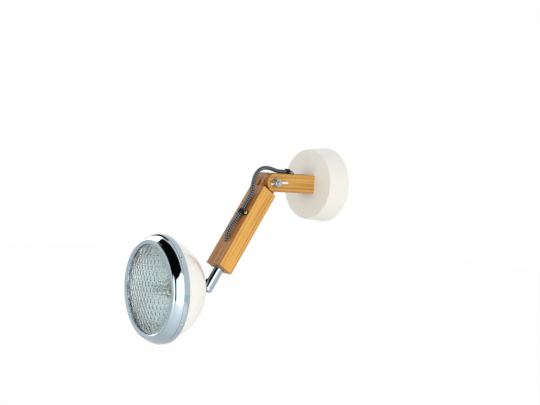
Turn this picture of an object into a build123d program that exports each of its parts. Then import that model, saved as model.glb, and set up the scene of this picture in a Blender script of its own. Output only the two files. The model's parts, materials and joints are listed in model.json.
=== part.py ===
"""Adjustable wall lamp: two wooden arms on a round wall cover, a chrome neck and a headlamp-style head."""
from build123d import *
import math
import os

# Driving dimensions, in millimetres and degrees.
# The wall is the plane Y = 0, the lamp stands out towards -Y, and +Z is up.

# Wall cover
cover_depth = 31.5
cover_back_radius = 51.2
cover_front_radius = 48.4
cover_wall = 2.0
cover_face = 2.5
cover_edge_round = 1.0

# Strap behind the cover and the screws that join them
strap_width = 22.0
strap_thickness = 2.0
strap_ear_height = 14.0
strap_gap = 0.4
wall_screw_spacing = 60.0
wall_slot_width = 5.5
wall_slot_length = 13.0
cover_screw_radius = 2.0
cover_screw_length = 7.5
cover_screw_height = 8.0
cover_screw_sink = 0.3

# Terminal block
terminal_length = 22.0
terminal_width = 12.0
terminal_height = 15.0
terminal_pitch = 11.0
terminal_bore_radius = 1.4
terminal_screw_radius = 1.6
house_wire_hole_radius = 3.0
block_screw_radius = 1.5
block_screw_floor = 0.5
block_screw_head_radius = 2.8
block_screw_head_height = 1.6

# Wooden arms: planed stock, finger joint and wood screws
stock_width = 29.0
stock_height = 25.0
stock_edge_round = 0.8
hinge_reach = 70.5
outer_finger = 7.5
cheek = 4.2
wood_gap = 0.3
shoulder_gap = 1.3
arm_length = 139.4
arm_angle = 32.0
arm_screw_x = 10.0
arm_screw_radius = 2.0
arm_screw_length = 27.0
arm_screw_head_radius = 3.6
arm_screw_head_height = 2.6

# Hinge bolt, washer and wing nut
bolt_radius = 3.0
bolt_head_radius = 7.0
bolt_head_height = 3.4
bolt_neck_depth = 3.6
bolt_show = 2.0
washer_radius = 6.2
washer_thickness = 1.4
nut_gap = 0.05
nut_height = 8.0
nut_base_radius = 6.2
nut_top_radius = 5.0
wing_reach = 16.5
wing_thickness = 2.6
wing_tip_radius = 3.0
wing_tip_height = 8.4
wing_root_radius = 2.6
wing_root_reach = 4.2
wing_turn = 6.0

# Cable and its saddle clips
cable_radius = 2.8
cable_bore_play = 0.4
cable_start = 26.0
arc_share = 0.45
core_radius = 1.0
core_offset = 1.3
grommet_radius = 4.6
grommet_flange_radius = 5.9
grommet_flange = 1.4
clip_width = 6.0
clip_thickness = 1.2
clip_play = 0.05
clip_foot_radius = 4.1
clip_screw_x = 8.3
clip_screw_radius = 1.5
clip_screw_length = 11.0
clip_head_radius = 2.7
clip_head_height = 1.9
upper_clip_distance = 32.5
lower_clip_distance = 58.2
lower_clip_x = 0.6
upper_seam = 3.5
lower_seam = 6.2

# Neck tube, its retaining screw and the tilt joint at its end
tube_radius = 7.5
tube_wall = 1.5
tube_depth = 20.0
neck_reach = 30.6
neck_turn = 7.7
tube_tip = 5.0
tube_tip_round = 3.6
tube_end_wall = 1.2
groove_depth = 0.8
groove_width = 4.2
neck_screw_distance = 10.0
neck_screw_radius = 2.0
neck_screw_tip_gap = 0.2
insert_radius = 3.4
insert_length = 4.4
slot_play = 0.3
slot_above = 9.5
slot_below_axis = 5.6
tilt_pin_radius = 2.0
tilt_pin_half = 7.0
tilt_washer_radius = 3.6
tilt_washer_thickness = 1.2

# Lug between the neck and the bowl
head_angle = 56.2
lug_thickness = 5.0
lug_half_height = 4.5
lug_reach = 14.4
collar_radius = 9.0
collar_thickness = 3.0
stud_radius = 6.0
stud_bore_radius = 4.0
stud_show = 1.5
lug_washer_radius = 9.3
lug_washer_thickness = 1.5
lug_nut_width = 18.0
lug_nut_height = 6.0

# Bowl and chrome rim, measured along the head's axis
bowl_radius = 69.5
bowl_wall = 1.2
bowl_seat_radius = 9.5
bowl_depth = 61.5
bowl_bead = 0.4
bowl_bead_height = 5.9
rim_sheet = 1.2
rim_fit = 0.3
rim_band_overlap = 7.0
rim_band_width = 7.4
rim_swell = 0.7
rim_step = 0.6
rim_body_depth = 11.3
rim_body_bulge = 0.9
rim_taper = 6.1
lip_width = 7.0
lip_bulge = 3.0
rim_screw_angle = 37.0
rim_screw_radius = 1.5
rim_screw_length = 4.0
rim_screw_head_radius = 2.4
rim_screw_head_height = 0.7
rim_screw_setback = 3.0

# Lens and gasket
gasket_thickness = 0.8
gasket_show = 0.3
lens_overlap = 3.0
lens_edge_thickness = 3.0
lens_dome_gap = 0.6
lens_rise = 10.0
lens_thickness = 3.6
lens_inner_setback = 1.2
pillow_pitch = 8.2
pillow_land = 0.4
pillow_border = 7.0
pillow_radius = 9.0
pillow_depth = 0.75

# Reflector, its springs, the lamp holder and the bulb
reflector_flange = 5.0
reflector_neck_radius = 13.0
reflector_wall = 1.0
reflector_neck_depth = 4.0
reflector_neck_flange = 5.0
spring_width = 8.0
spring_sheet = 0.8
spring_inset = 1.4
spring_foot = 7.9
spring_lip = 2.0
spring_angle = 45.0
holder_gap = 8.8
holder_length = 15.0
holder_play = 0.1
holder_flange = 2.5
holder_screw_x = 15.6
holder_screw_radius = 1.2
holder_screw_head_radius = 2.2
holder_screw_head_height = 1.4
socket_depth = 6.0
bulb_base_radius = 8.0
bulb_base_length = 10.0
bulb_glass_radius = 6.4
bulb_glass_length = 27.0
bulb_tip_round = 4.9

# Fits
screw_play = 0.03
pin_play = 0.05

# Places worked out from the sizes above

pivot_out = cover_depth + hinge_reach
half_width = stock_width / 2
half_height = stock_height / 2
shoulder = half_height + shoulder_gap
finger_half = half_width - outer_finger - cheek - 2 * wood_gap
cheek_inner = finger_half + wood_gap
cheek_outer = cheek_inner + cheek
cable_rest = half_height + cable_radius
neck_distance = arm_length + neck_reach

wall_place = Rot(90, 0, 0)
arm_place = Pos(0, -pivot_out, 0) * Rot(180 - arm_angle, 0, 0)
neck_place = arm_place * Pos(0, 0, neck_distance) * Rot(0, 0, neck_turn)
head_place = neck_place * Rot(-head_angle, 0, 0)
hinge_place = wall_place * Pos(0, 0, pivot_out) * Rot(0, 90, 0)
face_up = Rot(-90, 0, 0)
upper_clip_place = wall_place * Pos(0, half_height, pivot_out - upper_clip_distance) * face_up
lower_clip_place = arm_place * Pos(lower_clip_x, half_height, lower_clip_distance) * face_up

bowl_centre = lug_reach + math.sqrt(bowl_radius**2 - bowl_seat_radius**2)
bowl_inner_radius = bowl_radius - bowl_wall
bowl_inner_seat = bowl_centre - math.sqrt(bowl_inner_radius**2 - bowl_seat_radius**2)
bowl_edge = lug_reach + bowl_depth
band_back = bowl_edge - rim_band_overlap
band_front = band_back + rim_band_width
lip_back = band_front + rim_step + rim_body_depth
bead_radius = bowl_radius + bowl_bead
rim_band_radius = bead_radius + rim_fit + rim_sheet
rim_radius = rim_band_radius + rim_swell
lip_radius = rim_radius - rim_taper
aperture_radius = lip_radius - lip_width
lens_edge_radius = aperture_radius + lens_overlap
lens_dome_radius = aperture_radius - lens_dome_gap
reflector_radius = lens_edge_radius - reflector_flange
gasket_front = lip_back - rim_sheet
lens_front = gasket_front - gasket_thickness
lens_back = lens_front - lens_edge_thickness
lens_apex = lens_front + lens_rise
reflector_back = lens_back - reflector_wall
stud_end = bowl_inner_seat + lug_washer_thickness + lug_nut_height + stud_show
holder_back = stud_end + holder_gap
neck_rim = holder_back + holder_length
holder_seat = neck_rim - reflector_neck_depth
reflector_focus = (reflector_radius**2 - reflector_neck_radius**2) / (4 * (reflector_back - neck_rim))


# Shared shapes

def rod(radius, start, end, x=0.0, y=0.0):
    """Round bar along Z."""
    return Pos(x, y, start) * Cylinder(radius, end - start, align=(Align.CENTER, Align.CENTER, Align.MIN))


def ring(outer, inner, start, end):
    """Plain ring around Z."""
    return rod(outer, start, end) - rod(inner, start, end)


def cone(base, top, height):
    """Tapered bar that stands on Z = 0."""
    return Cone(base, top, height, align=(Align.CENTER, Align.CENTER, Align.MIN))


def rod_x(radius, start, end, z=0.0):
    """Round bar along X."""
    return Pos(0, 0, z) * Rot(0, 90, 0) * rod(radius, start, end)


def block(x0, x1, y0, y1, z0, z1):
    """Box from corner to corner."""
    return Pos(x0, y0, z0) * Box(x1 - x0, y1 - y0, z1 - z0, align=(Align.MIN, Align.MIN, Align.MIN))


def at(radius, height):
    """Point of a turned profile."""
    return Vector(radius, 0, height)


def turned(*edges):
    """Solid of revolution around Z from the edges of a closed profile."""
    return revolve(make_face(edges), Axis.Z)


def outline(*points):
    """Straight edges through the points."""
    return [Line(a, b) for a, b in zip(points, points[1:])]


def bowed(start, end, bulge):
    """Arc between two profile points that swells to the left of the way from start to end."""
    middle = (start + end) / 2
    way = (end - start).normalized()
    return ThreePointArc(start, middle + Vector(-way.Z, 0, way.X) * bulge, end)


def sphere_arc(radius, centre, z0, z1):
    """Arc of a ball's profile between two heights below its centre."""
    heights = (z0, (z0 + z1) / 2, z1)
    return ThreePointArc(*[at(math.sqrt(radius**2 - (centre - z)**2), z) for z in heights])


def dome_ball_radius(base, rise):
    """Radius of the ball whose cap has this base radius and rise."""
    return (base**2 + rise**2) / (2 * rise)


def domed_head(radius, height, base):
    """Round screw or bolt head that stands on the height base."""
    top = base + height
    ball = dome_ball_radius(radius, height)
    shoulder_point = at(radius / 2, top - ball + math.sqrt(ball**2 - (radius / 2) ** 2))
    return turned(
        ThreePointArc(at(radius, base), shoulder_point, at(0, top)),
        *outline(at(0, top), at(0, base), at(radius, base)),
    )


def cover_radius(height):
    """Outer radius of the tapered cover at a height above the wall."""
    return cover_back_radius + (cover_front_radius - cover_back_radius) * height / cover_depth


# Cable route, in places chosen by hand along it

def from_hinge(x, out, up):
    """Point beside the hinge axis: sideways, away from the wall and up."""
    return Vector(x, -pivot_out - out, up)


def on_arm(x, front, along):
    """Point in the long arm's own directions, from the hinge axis."""
    return (arm_place * Pos(x, front, along)).position


inlet_points = [
    from_hinge(0, cable_start - pivot_out, 0),
    from_hinge(0, -49.8, 0),
    from_hinge(0, -41.0, cable_rest),
    from_hinge(0, upper_seam - upper_clip_distance, cable_rest),
]
loop_points = [
    from_hinge(0, upper_seam - upper_clip_distance, cable_rest),
    from_hinge(0, -14.0, cable_rest),
    from_hinge(0, -1.0, 19.2),
    from_hinge(0, 13.5, 18.9),
    from_hinge(0.3, 24.0, 9.4),
    from_hinge(0.8, 27.4, -5.0),
    on_arm(2.4, 15.9, 29.5),
    on_arm(lower_clip_x, cable_rest, 42.0),
    on_arm(lower_clip_x, cable_rest, lower_clip_distance - lower_seam),
]
outlet_points = [
    on_arm(lower_clip_x, cable_rest, lower_clip_distance - lower_seam),
    on_arm(lower_clip_x, cable_rest, 66.0),
    on_arm(-0.9, 16.8, 81.0),
    on_arm(-0.4, 16.4, 96.5),
    on_arm(0, 0, arm_length - tube_depth - 4.4),
    on_arm(0, 0, arm_length - tube_depth + 10.6),
]


def bend_radii(points):
    """Largest arc at each corner that its two runs leave room for."""
    radii = []
    for before, corner, after in zip(points, points[1:], points[2:]):
        turn = (corner - before).get_angle(after - corner)
        run = min((corner - before).length, (after - corner).length)
        radii.append(arc_share * run / math.tan(math.radians(turn / 2)))
    return radii


def cable_along(points, radius):
    """Round tube of straight runs and tangent arcs through the points."""
    path = FilletPolyline(*points, radius=bend_radii(points))
    section = Plane(path @ 0, z_dir=path % 0) * Circle(radius)
    return sweep(section, path=path)


# Wall side

def wall_cover():
    inside_height = cover_depth - cover_face
    cup = cone(cover_back_radius, cover_front_radius, cover_depth)
    cup = fillet(cup.edges().group_by(Axis.Z)[-1], cover_edge_round)
    cup -= cone(cover_back_radius - cover_wall, cover_radius(inside_height) - cover_wall, inside_height)
    for side in (-1, 1):
        cup -= rod(arm_screw_radius + screw_play, inside_height, cover_depth, side * arm_screw_x)
        cup -= cover_screw_place(side) * rod(cover_screw_radius + screw_play, 0, cover_back_radius)
    cup -= rod(grommet_radius, inside_height, cover_depth)
    return wall_place * cup


def cover_screw_place(side):
    """Radial place of a cover screw above or below the middle."""
    return Pos(0, 0, cover_screw_height) * Rot(-90 * side, 0, 0)


def strap_reach():
    """Distance from the middle to the outer face of the strap's ears."""
    inside = cover_radius(strap_ear_height) - cover_wall
    return math.sqrt(inside**2 - (strap_width / 2) ** 2) - strap_gap


def mounting_strap():
    reach = strap_reach()
    half = strap_width / 2
    strap = block(-half, half, -reach, reach, 0, strap_thickness)
    for side in (-1, 1):
        inner = side * (reach - strap_thickness)
        near, far = sorted((inner, side * reach))
        strap += block(-half, half, near, far, 0, strap_ear_height)
    for side in (-1, 1):
        slot = extrude(SlotOverall(wall_slot_length, wall_slot_width, rotation=90), strap_thickness)
        strap -= Pos(0, side * wall_screw_spacing / 2, 0) * slot
        strap -= cover_screw_place(side) * rod(cover_screw_radius + screw_play, 0, cover_back_radius)
        strap -= rod(house_wire_hole_radius, 0, strap_thickness, side * terminal_pitch / 2)
    strap -= rod(block_screw_radius + screw_play, block_screw_floor, strap_thickness)
    return wall_place * strap


def cover_screws():
    outer_end = cover_radius(cover_screw_height) - cover_screw_sink
    screw = rod(cover_screw_radius, outer_end - cover_screw_length, outer_end)
    return [wall_place * cover_screw_place(side) * screw for side in (-1, 1)]


def terminal_block():
    half_x = terminal_length / 2
    half_y = terminal_width / 2
    top = strap_thickness + terminal_height
    body = block(-half_x, half_x, -half_y, half_y, strap_thickness, top)
    for side in (-1, 1):
        x = side * terminal_pitch / 2
        body -= rod(terminal_bore_radius, strap_thickness, top, x)
        body -= terminal_screw_place(side) * rod(terminal_screw_radius + screw_play, 0, half_y)
    body -= rod(block_screw_radius + screw_play, strap_thickness, top)
    return wall_place * body


def terminal_screw_place(side):
    """Place of a clamping screw, across its terminal bore."""
    return Pos(side * terminal_pitch / 2, 0, strap_thickness + terminal_height / 2) * Rot(-90, 0, 0)


def terminal_screws():
    screw = rod(terminal_screw_radius, core_radius + screw_play, terminal_width / 2)
    return [wall_place * terminal_screw_place(side) * screw for side in (-1, 1)]


def block_screw():
    top = strap_thickness + terminal_height
    screw = rod(block_screw_radius, block_screw_floor, top)
    return wall_place * (screw + rod(block_screw_head_radius, top, top + block_screw_head_height))


def terminal_leads():
    leads = []
    top = strap_thickness + terminal_height
    spread = terminal_pitch / 2 - core_offset
    for side in (-1, 1):
        corners = [
            (side * core_offset, 0, cable_start),
            (side * core_offset, 0, top + spread + 2 * core_radius),
            (side * terminal_pitch / 2, 0, top + 2 * core_radius),
            (side * terminal_pitch / 2, 0, strap_thickness + core_radius),
        ]
        path = FilletPolyline(*corners, radius=2 * core_radius)
        leads.append(wall_place * sweep(Plane(path @ 0, z_dir=path % 0) * Circle(core_radius), path=path))
    return leads


def cable_grommet():
    inside = cover_depth - cover_face
    sleeve = rod(grommet_radius, inside, cover_depth)
    sleeve += rod(grommet_flange_radius, inside - grommet_flange, inside)
    return wall_place * (sleeve - rod(cable_radius + clip_play, inside - grommet_flange, cover_depth))


def round_stock_edges(solid, keep_square):
    """Ease the long edges of a piece of stock, apart from those on the plane Z = keep_square."""
    sides = solid.faces().filter_by(Axis.X).sort_by(Axis.X)
    edges = sides[0].edges() + sides[-1].edges()
    return fillet([e for e in edges if abs(e.center().Z - keep_square) > stock_edge_round], stock_edge_round)


def short_arm():
    arm = block(-half_width, half_width, -half_height, half_height, cover_depth, pivot_out)
    arm += rod_x(half_height, -half_width, half_width, pivot_out)
    arm = round_stock_edges(arm, cover_depth)
    slot_start = pivot_out - shoulder
    slot_end = pivot_out + stock_height
    screw_end = cover_depth + arm_screw_length
    for side in (-1, 1):
        near, far = sorted((side * finger_half, side * (finger_half + cheek + 2 * wood_gap)))
        arm -= block(near, far, -stock_height, stock_height, slot_start, slot_end)
        arm -= rod(arm_screw_radius + screw_play, cover_depth, screw_end, side * arm_screw_x)
    arm -= rod_x(bolt_radius + pin_play, -half_width, half_width, pivot_out)
    neck_end = bolt_neck_depth - half_width
    neck = bolt_radius + pin_play
    arm -= block(-half_width, neck_end, -neck, neck, pivot_out - neck, pivot_out + neck)
    arm = wall_place * arm
    arm -= cable_along(inlet_points, cable_radius + cable_bore_play)
    return arm - clip_screw_bores(upper_clip_place)


def short_arm_screws():
    inside = cover_depth - cover_face
    screws = []
    for side in (-1, 1):
        shank = rod(arm_screw_radius, inside, cover_depth + arm_screw_length)
        head = domed_head(arm_screw_head_radius, arm_screw_head_height, 0)
        screw = shank + Pos(0, 0, inside) * Rot(180, 0, 0) * head
        screws.append(wall_place * Pos(side * arm_screw_x, 0, 0) * screw)
    return screws


def hinge_bolt():
    r = bolt_radius
    end = half_width + washer_thickness + nut_gap + nut_height + bolt_show
    bolt = rod(r, -half_width, end)
    bolt += block(-r, r, -r, r, -half_width, bolt_neck_depth - half_width)
    head = Pos(0, 0, -half_width) * Rot(180, 0, 0)
    return hinge_place * (bolt + head * domed_head(bolt_head_radius, bolt_head_height, 0))


def hinge_washer():
    seat = half_width
    return hinge_place * ring(washer_radius, bolt_radius + pin_play, seat, seat + washer_thickness)


def wing_nut():
    boss = cone(nut_base_radius, nut_top_radius, nut_height)
    tip = Pos(wing_reach - wing_tip_radius, wing_tip_height) * Circle(wing_tip_radius)
    root = Pos(wing_root_reach, nut_height / 2) * Circle(wing_root_radius)
    ear = Plane.XZ * make_hull(tip.edges() + root.edges())
    wing = extrude(ear, wing_thickness / 2, both=True)
    nut = boss + wing + Rot(0, 0, 180) * wing
    nut -= rod(bolt_radius + pin_play, 0, nut_height + wing_reach)
    seat = half_width + washer_thickness + nut_gap
    return hinge_place * Pos(0, 0, seat) * Rot(0, 0, wing_turn) * nut


def arch(radius):
    """Round arch over the cable, with straight legs down to the wood."""
    legs = Pos(0, cable_radius / 2) * Rectangle(2 * radius, cable_radius)
    return Pos(0, cable_radius) * Circle(radius) + legs


def saddle_clip(place):
    """Strip over the cable, with a round screw foot on each side."""
    tunnel = cable_radius + clip_play
    top = cable_radius + tunnel + clip_thickness
    feet = Pos(0, clip_thickness / 2) * Rectangle(2 * clip_screw_x, clip_thickness)
    above_wood = Pos(0, top / 2) * Rectangle(2 * clip_screw_x, top)
    profile = (arch(tunnel + clip_thickness) + feet - arch(tunnel)) & above_wood
    strip = extrude(Plane.XZ * profile, clip_width / 2, both=True)
    for side in (-1, 1):
        strip += rod(clip_foot_radius, 0, clip_thickness, side * clip_screw_x)
        strip -= rod(clip_screw_radius + screw_play, 0, clip_thickness, side * clip_screw_x)
    return place * strip


def clip_screws(place):
    screws = []
    for side in (-1, 1):
        shank = rod(clip_screw_radius, -clip_screw_length, clip_thickness)
        screw = shank + domed_head(clip_head_radius, clip_head_height, clip_thickness)
        screws.append(place * Pos(side * clip_screw_x, 0, 0) * screw)
    return screws


def clip_screw_bores(place):
    """Holes in the wood for a clip's two screws."""
    bore = rod(clip_screw_radius + screw_play, -clip_screw_length, 0)
    return [place * Pos(side * clip_screw_x, 0, 0) * bore for side in (-1, 1)]


# Long arm

def long_arm():
    arm = block(-half_width, half_width, -half_height, half_height, shoulder, arm_length)
    arm = round_stock_edges(arm, shoulder)
    for side in (-1, 1):
        near, far = sorted((side * cheek_inner, side * cheek_outer))
        arm += block(near, far, -half_height, half_height, 0, shoulder)
        arm += rod_x(half_height, near, far)
    arm -= rod_x(bolt_radius + pin_play, -half_width, half_width)
    arm -= rod(tube_radius + pin_play, arm_length - tube_depth, arm_length)
    arm -= neck_screw_place() * rod(insert_radius + screw_play, -insert_length, 0)
    arm -= neck_screw_place() * rod(neck_screw_radius + screw_play, -half_height, 0)
    arm = arm_place * arm
    arm -= cable_along(outlet_points[2:], cable_radius + cable_bore_play)
    return arm - clip_screw_bores(lower_clip_place)


def neck_screw_place():
    """Place on the arm's back face, pointing out of it, in the arm's own directions."""
    return Pos(0, -half_height, arm_length - neck_screw_distance) * Rot(90, 0, 0)


def neck_insert():
    sleeve = ring(insert_radius, neck_screw_radius + screw_play, -insert_length, 0)
    return arm_place * neck_screw_place() * sleeve


def neck_screw():
    tip = tube_radius - groove_depth + neck_screw_tip_gap - half_height
    return arm_place * neck_screw_place() * rod(neck_screw_radius, tip, 0)


# Neck

def neck_tube():
    top = -neck_reach - tube_depth
    tube = rod(tube_radius, top, tube_tip)
    tube = fillet(tube.edges().group_by(Axis.Z)[-1], tube_tip_round)
    tube -= rod(tube_radius - tube_wall, top, tube_tip - tube_end_wall)
    half_slot = lug_thickness / 2 + slot_play
    clear = tube_radius + tube_tip
    tube -= block(-half_slot, half_slot, -slot_below_axis, clear, -slot_above, clear)
    groove_middle = -neck_reach - neck_screw_distance
    groove_start = groove_middle - groove_width / 2
    tube -= ring(clear, tube_radius - groove_depth, groove_start, groove_start + groove_width)
    tube -= rod_x(tilt_pin_radius + screw_play, -tube_radius, tube_radius)
    return neck_place * tube


def tilt_pin():
    return neck_place * rod_x(tilt_pin_radius, -tilt_pin_half, tilt_pin_half)


def tilt_washers():
    start = lug_thickness / 2 + pin_play
    washer = ring(tilt_washer_radius, tilt_pin_radius + screw_play, start, start + tilt_washer_thickness)
    return [neck_place * Rot(0, 90 * side, 0) * washer for side in (-1, 1)]


# Head

def head_lug():
    half = lug_thickness / 2
    lug = ring(collar_radius, stud_bore_radius, lug_reach - collar_thickness, lug_reach)
    lug += ring(stud_radius, stud_bore_radius, lug_reach, stud_end)
    lug += block(-half, half, -lug_half_height, lug_half_height, 0, lug_reach)
    lug += rod_x(lug_half_height, -half, half)
    return head_place * (lug - rod_x(tilt_pin_radius + pin_play, -half, half))


def lug_washer():
    start = bowl_inner_seat
    return head_place * ring(lug_washer_radius, stud_radius + screw_play, start, start + lug_washer_thickness)


def lug_nut():
    start = bowl_inner_seat + lug_washer_thickness
    hexagon = RegularPolygon(lug_nut_width / 2, 6, major_radius=False)
    nut = Pos(0, 0, start) * extrude(hexagon, lug_nut_height)
    return head_place * (nut - rod(stud_radius + screw_play, start, stud_end))


def rim_screw_places():
    """Places on the rim's band, pointing outwards, in the head's own directions."""
    height = band_back + rim_screw_setback
    angles = [side + tilt for side in (0, 180) for tilt in (-rim_screw_angle, rim_screw_angle)]
    return [Rot(0, 0, angle) * Pos(rim_band_radius, 0, height) * Rot(0, 90, 0) for angle in angles]


def head_bowl():
    bead_back = bowl_edge - bowl_bead_height
    outer = sphere_arc(bowl_radius, bowl_centre, lug_reach, bead_back)
    inner = sphere_arc(bowl_inner_radius, bowl_centre, bowl_inner_seat, bowl_edge)
    hole = stud_radius + screw_play
    shell = turned(
        outer,
        *outline(outer @ 1, at(bead_radius, bead_back), at(bead_radius, bowl_edge), inner @ 1),
        inner,
        *outline(inner @ 0, at(hole, bowl_inner_seat), at(hole, lug_reach), outer @ 0),
    )
    for place in rim_screw_places():
        shell -= place * rod(rim_screw_radius + screw_play, -rim_screw_length, 0)
    return head_place * shell


def rim():
    body_back = band_front + rim_step
    lip_start = at(lip_radius, lip_back)
    lip_end = at(aperture_radius, lip_back)
    ring_profile = turned(
        *outline(at(rim_band_radius - rim_sheet, band_back), at(rim_band_radius, band_back)),
        *outline(at(rim_band_radius, band_back), at(rim_band_radius, band_front), at(rim_radius, body_back)),
        bowed(at(rim_radius, body_back), lip_start, -rim_body_bulge),
        bowed(lip_start, lip_end, -lip_bulge),
        *outline(
            lip_end,
            at(aperture_radius, gasket_front),
            at(lip_radius - rim_sheet, gasket_front),
            at(rim_band_radius - rim_sheet, body_back),
            at(rim_band_radius - rim_sheet, band_back),
        ),
    )
    for place in rim_screw_places():
        ring_profile -= place * rod(rim_screw_radius + screw_play, -rim_screw_length, rim_sheet)
    return head_place * ring_profile


def rim_screws():
    shank = rod(rim_screw_radius, -rim_screw_length, 0)
    screw = shank + domed_head(rim_screw_head_radius, rim_screw_head_height, 0)
    return [head_place * place * screw for place in rim_screw_places()]


def lens_gasket():
    inner = aperture_radius - gasket_show
    return head_place * ring(lens_edge_radius, inner, lens_front, gasket_front)


def lens():
    inner_base = lens_dome_radius - lens_inner_setback
    inner_rise = lens_apex - lens_thickness - lens_back
    ball = dome_ball_radius(lens_dome_radius, lens_rise)
    inner_ball = dome_ball_radius(inner_base, inner_rise)
    glass = Pos(0, 0, lens_apex - ball) * Sphere(ball) & rod(lens_dome_radius, lens_front, lens_apex)
    glass += rod(lens_edge_radius, lens_back, lens_front)
    inner_centre = lens_back + inner_rise - inner_ball
    glass -= Pos(0, 0, inner_centre) * Sphere(inner_ball) & rod(inner_base, lens_back, lens_apex)
    return head_place * (glass - pillows(inner_base, inner_ball, inner_centre))


def pillows(base, ball, ball_centre):
    """Staggered rows of shallow round hollows over the lens's inner face, each square to the dome."""
    hollow = Sphere(pillow_radius) & rod((pillow_pitch - pillow_land) / 2, 0, pillow_radius)
    hollow &= rod(pillow_radius, pillow_radius - 2 * pillow_depth, pillow_radius)
    centre = Vector(0, 0, ball_centre)
    row_pitch = pillow_pitch * math.sin(math.radians(60))
    rows = int(base / row_pitch)
    columns = int(base / pillow_pitch) + 1
    cutters = []
    for row in range(-rows, rows + 1):
        for column in range(-columns, columns + 1):
            x = (column + row % 2 / 2) * pillow_pitch
            y = row * row_pitch
            if math.hypot(x, y) > base - pillow_border:
                continue
            outward = Vector(x, y, math.sqrt(ball**2 - x**2 - y**2)).normalized()
            place = Plane(centre + outward * (ball + pillow_depth - pillow_radius), z_dir=outward)
            cutters.append(place * hollow)
    return cutters


def reflector():
    flange = ring(lens_edge_radius, reflector_radius, reflector_back, lens_back)
    neck_slope = reflector_neck_radius / (2 * reflector_focus)
    mouth = at(reflector_radius, reflector_back)
    throat = at(reflector_neck_radius, neck_rim)
    middle = (reflector_radius + reflector_neck_radius) / 2
    knee = at(middle, neck_rim + neck_slope * (middle - reflector_neck_radius))
    thick = Vector(0, 0, reflector_wall)
    dish = turned(
        Bezier(throat, knee, mouth),
        Line(mouth, mouth + thick),
        Bezier(mouth + thick, knee + thick, throat + thick),
        Line(throat + thick, throat),
    )
    outer = reflector_neck_radius + reflector_wall
    neck_top = neck_rim + reflector_wall + neck_slope * reflector_wall
    neck = ring(outer, reflector_neck_radius, holder_seat, neck_top)
    foot_radius = reflector_neck_radius + reflector_neck_flange
    foot_top = holder_seat + reflector_wall
    foot = ring(foot_radius, reflector_neck_radius, holder_seat, foot_top)
    for side in (-1, 1):
        foot -= rod(holder_screw_radius + screw_play, holder_seat, foot_top, side * holder_screw_x)
    return head_place * (flange + dish + neck + foot)


def retaining_clips():
    """Springs between the bowl's edge and the back of the reflector."""
    sheet = spring_sheet
    web = lens_edge_radius - spring_inset
    z_profile = Polyline(
        (web, bowl_edge),
        (web + spring_foot, bowl_edge),
        (web + spring_foot, bowl_edge + sheet),
        (web + sheet, bowl_edge + sheet),
        (web + sheet, reflector_back),
        (web - spring_lip, reflector_back),
        (web - spring_lip, reflector_back - sheet),
        (web, reflector_back - sheet),
        (web, bowl_edge),
    )
    spring = extrude(Plane.XZ * make_face(z_profile), spring_width / 2, both=True)
    return [head_place * Rot(0, 0, spring_angle + quarter * 90) * spring for quarter in range(4)]


def lamp_holder():
    body_radius = reflector_neck_radius - holder_play
    front = neck_rim
    body = rod(body_radius, holder_back, front)
    flange_radius = reflector_neck_radius + reflector_neck_flange
    body += rod(flange_radius, holder_seat - holder_flange, holder_seat)
    body -= rod(bulb_base_radius + pin_play, front - socket_depth, front)
    for side in (-1, 1):
        x = side * holder_screw_x
        body -= rod(holder_screw_radius + screw_play, holder_seat - holder_flange, holder_seat, x)
        body -= rod(core_radius + screw_play, holder_back, front - socket_depth, side * core_offset)
    return head_place * body


def holder_screws():
    back = holder_seat - holder_flange
    screws = []
    for side in (-1, 1):
        shank = rod(holder_screw_radius, back, holder_seat + reflector_wall)
        head = rod(holder_screw_head_radius, back - holder_screw_head_height, back)
        screws.append(head_place * Pos(side * holder_screw_x, 0, 0) * (shank + head))
    return screws


def bulb_base():
    back = neck_rim - socket_depth
    return head_place * rod(bulb_base_radius, back, back + bulb_base_length)


def bulb_glass():
    start = neck_rim - socket_depth + bulb_base_length
    capsule = rod(bulb_glass_radius, start, start + bulb_glass_length)
    return head_place * fillet(capsule.edges().group_by(Axis.Z)[-1], bulb_tip_round)


def lamp_leads():
    start = lug_reach
    end = neck_rim - socket_depth
    return [head_place * rod(core_radius, start, end, side * core_offset) for side in (-1, 1)]


# All nodes, one file each

nodes = {
    "wall_cover": wall_cover(),
    "mounting_strap": mounting_strap(),
    "cover_screws": cover_screws(),
    "terminal_block": terminal_block(),
    "terminal_screws": terminal_screws(),
    "block_screw": block_screw(),
    "terminal_leads": terminal_leads(),
    "cable_grommet": cable_grommet(),
    "short_arm": short_arm(),
    "short_arm_screws": short_arm_screws(),
    "hinge_bolt": hinge_bolt(),
    "hinge_washer": hinge_washer(),
    "wing_nut": wing_nut(),
    "upper_clip": saddle_clip(upper_clip_place),
    "upper_clip_screws": clip_screws(upper_clip_place),
    "cable_inlet": cable_along(inlet_points, cable_radius),
    "cable_loop": cable_along(loop_points, cable_radius),
    "long_arm": long_arm(),
    "lower_clip": saddle_clip(lower_clip_place),
    "lower_clip_screws": clip_screws(lower_clip_place),
    "cable_outlet": cable_along(outlet_points, cable_radius),
    "neck_insert": neck_insert(),
    "neck_screw": neck_screw(),
    "neck_tube": neck_tube(),
    "tilt_pin": tilt_pin(),
    "tilt_washers": tilt_washers(),
    "head_lug": head_lug(),
    "lug_washer": lug_washer(),
    "lug_nut": lug_nut(),
    "head_bowl": head_bowl(),
    "rim": rim(),
    "rim_screws": rim_screws(),
    "lens": lens(),
    "lens_gasket": lens_gasket(),
    "reflector": reflector(),
    "retaining_clips": retaining_clips(),
    "lamp_holder": lamp_holder(),
    "holder_screws": holder_screws(),
    "bulb_base": bulb_base(),
    "bulb_glass": bulb_glass(),
    "lamp_leads": lamp_leads(),
}

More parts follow.
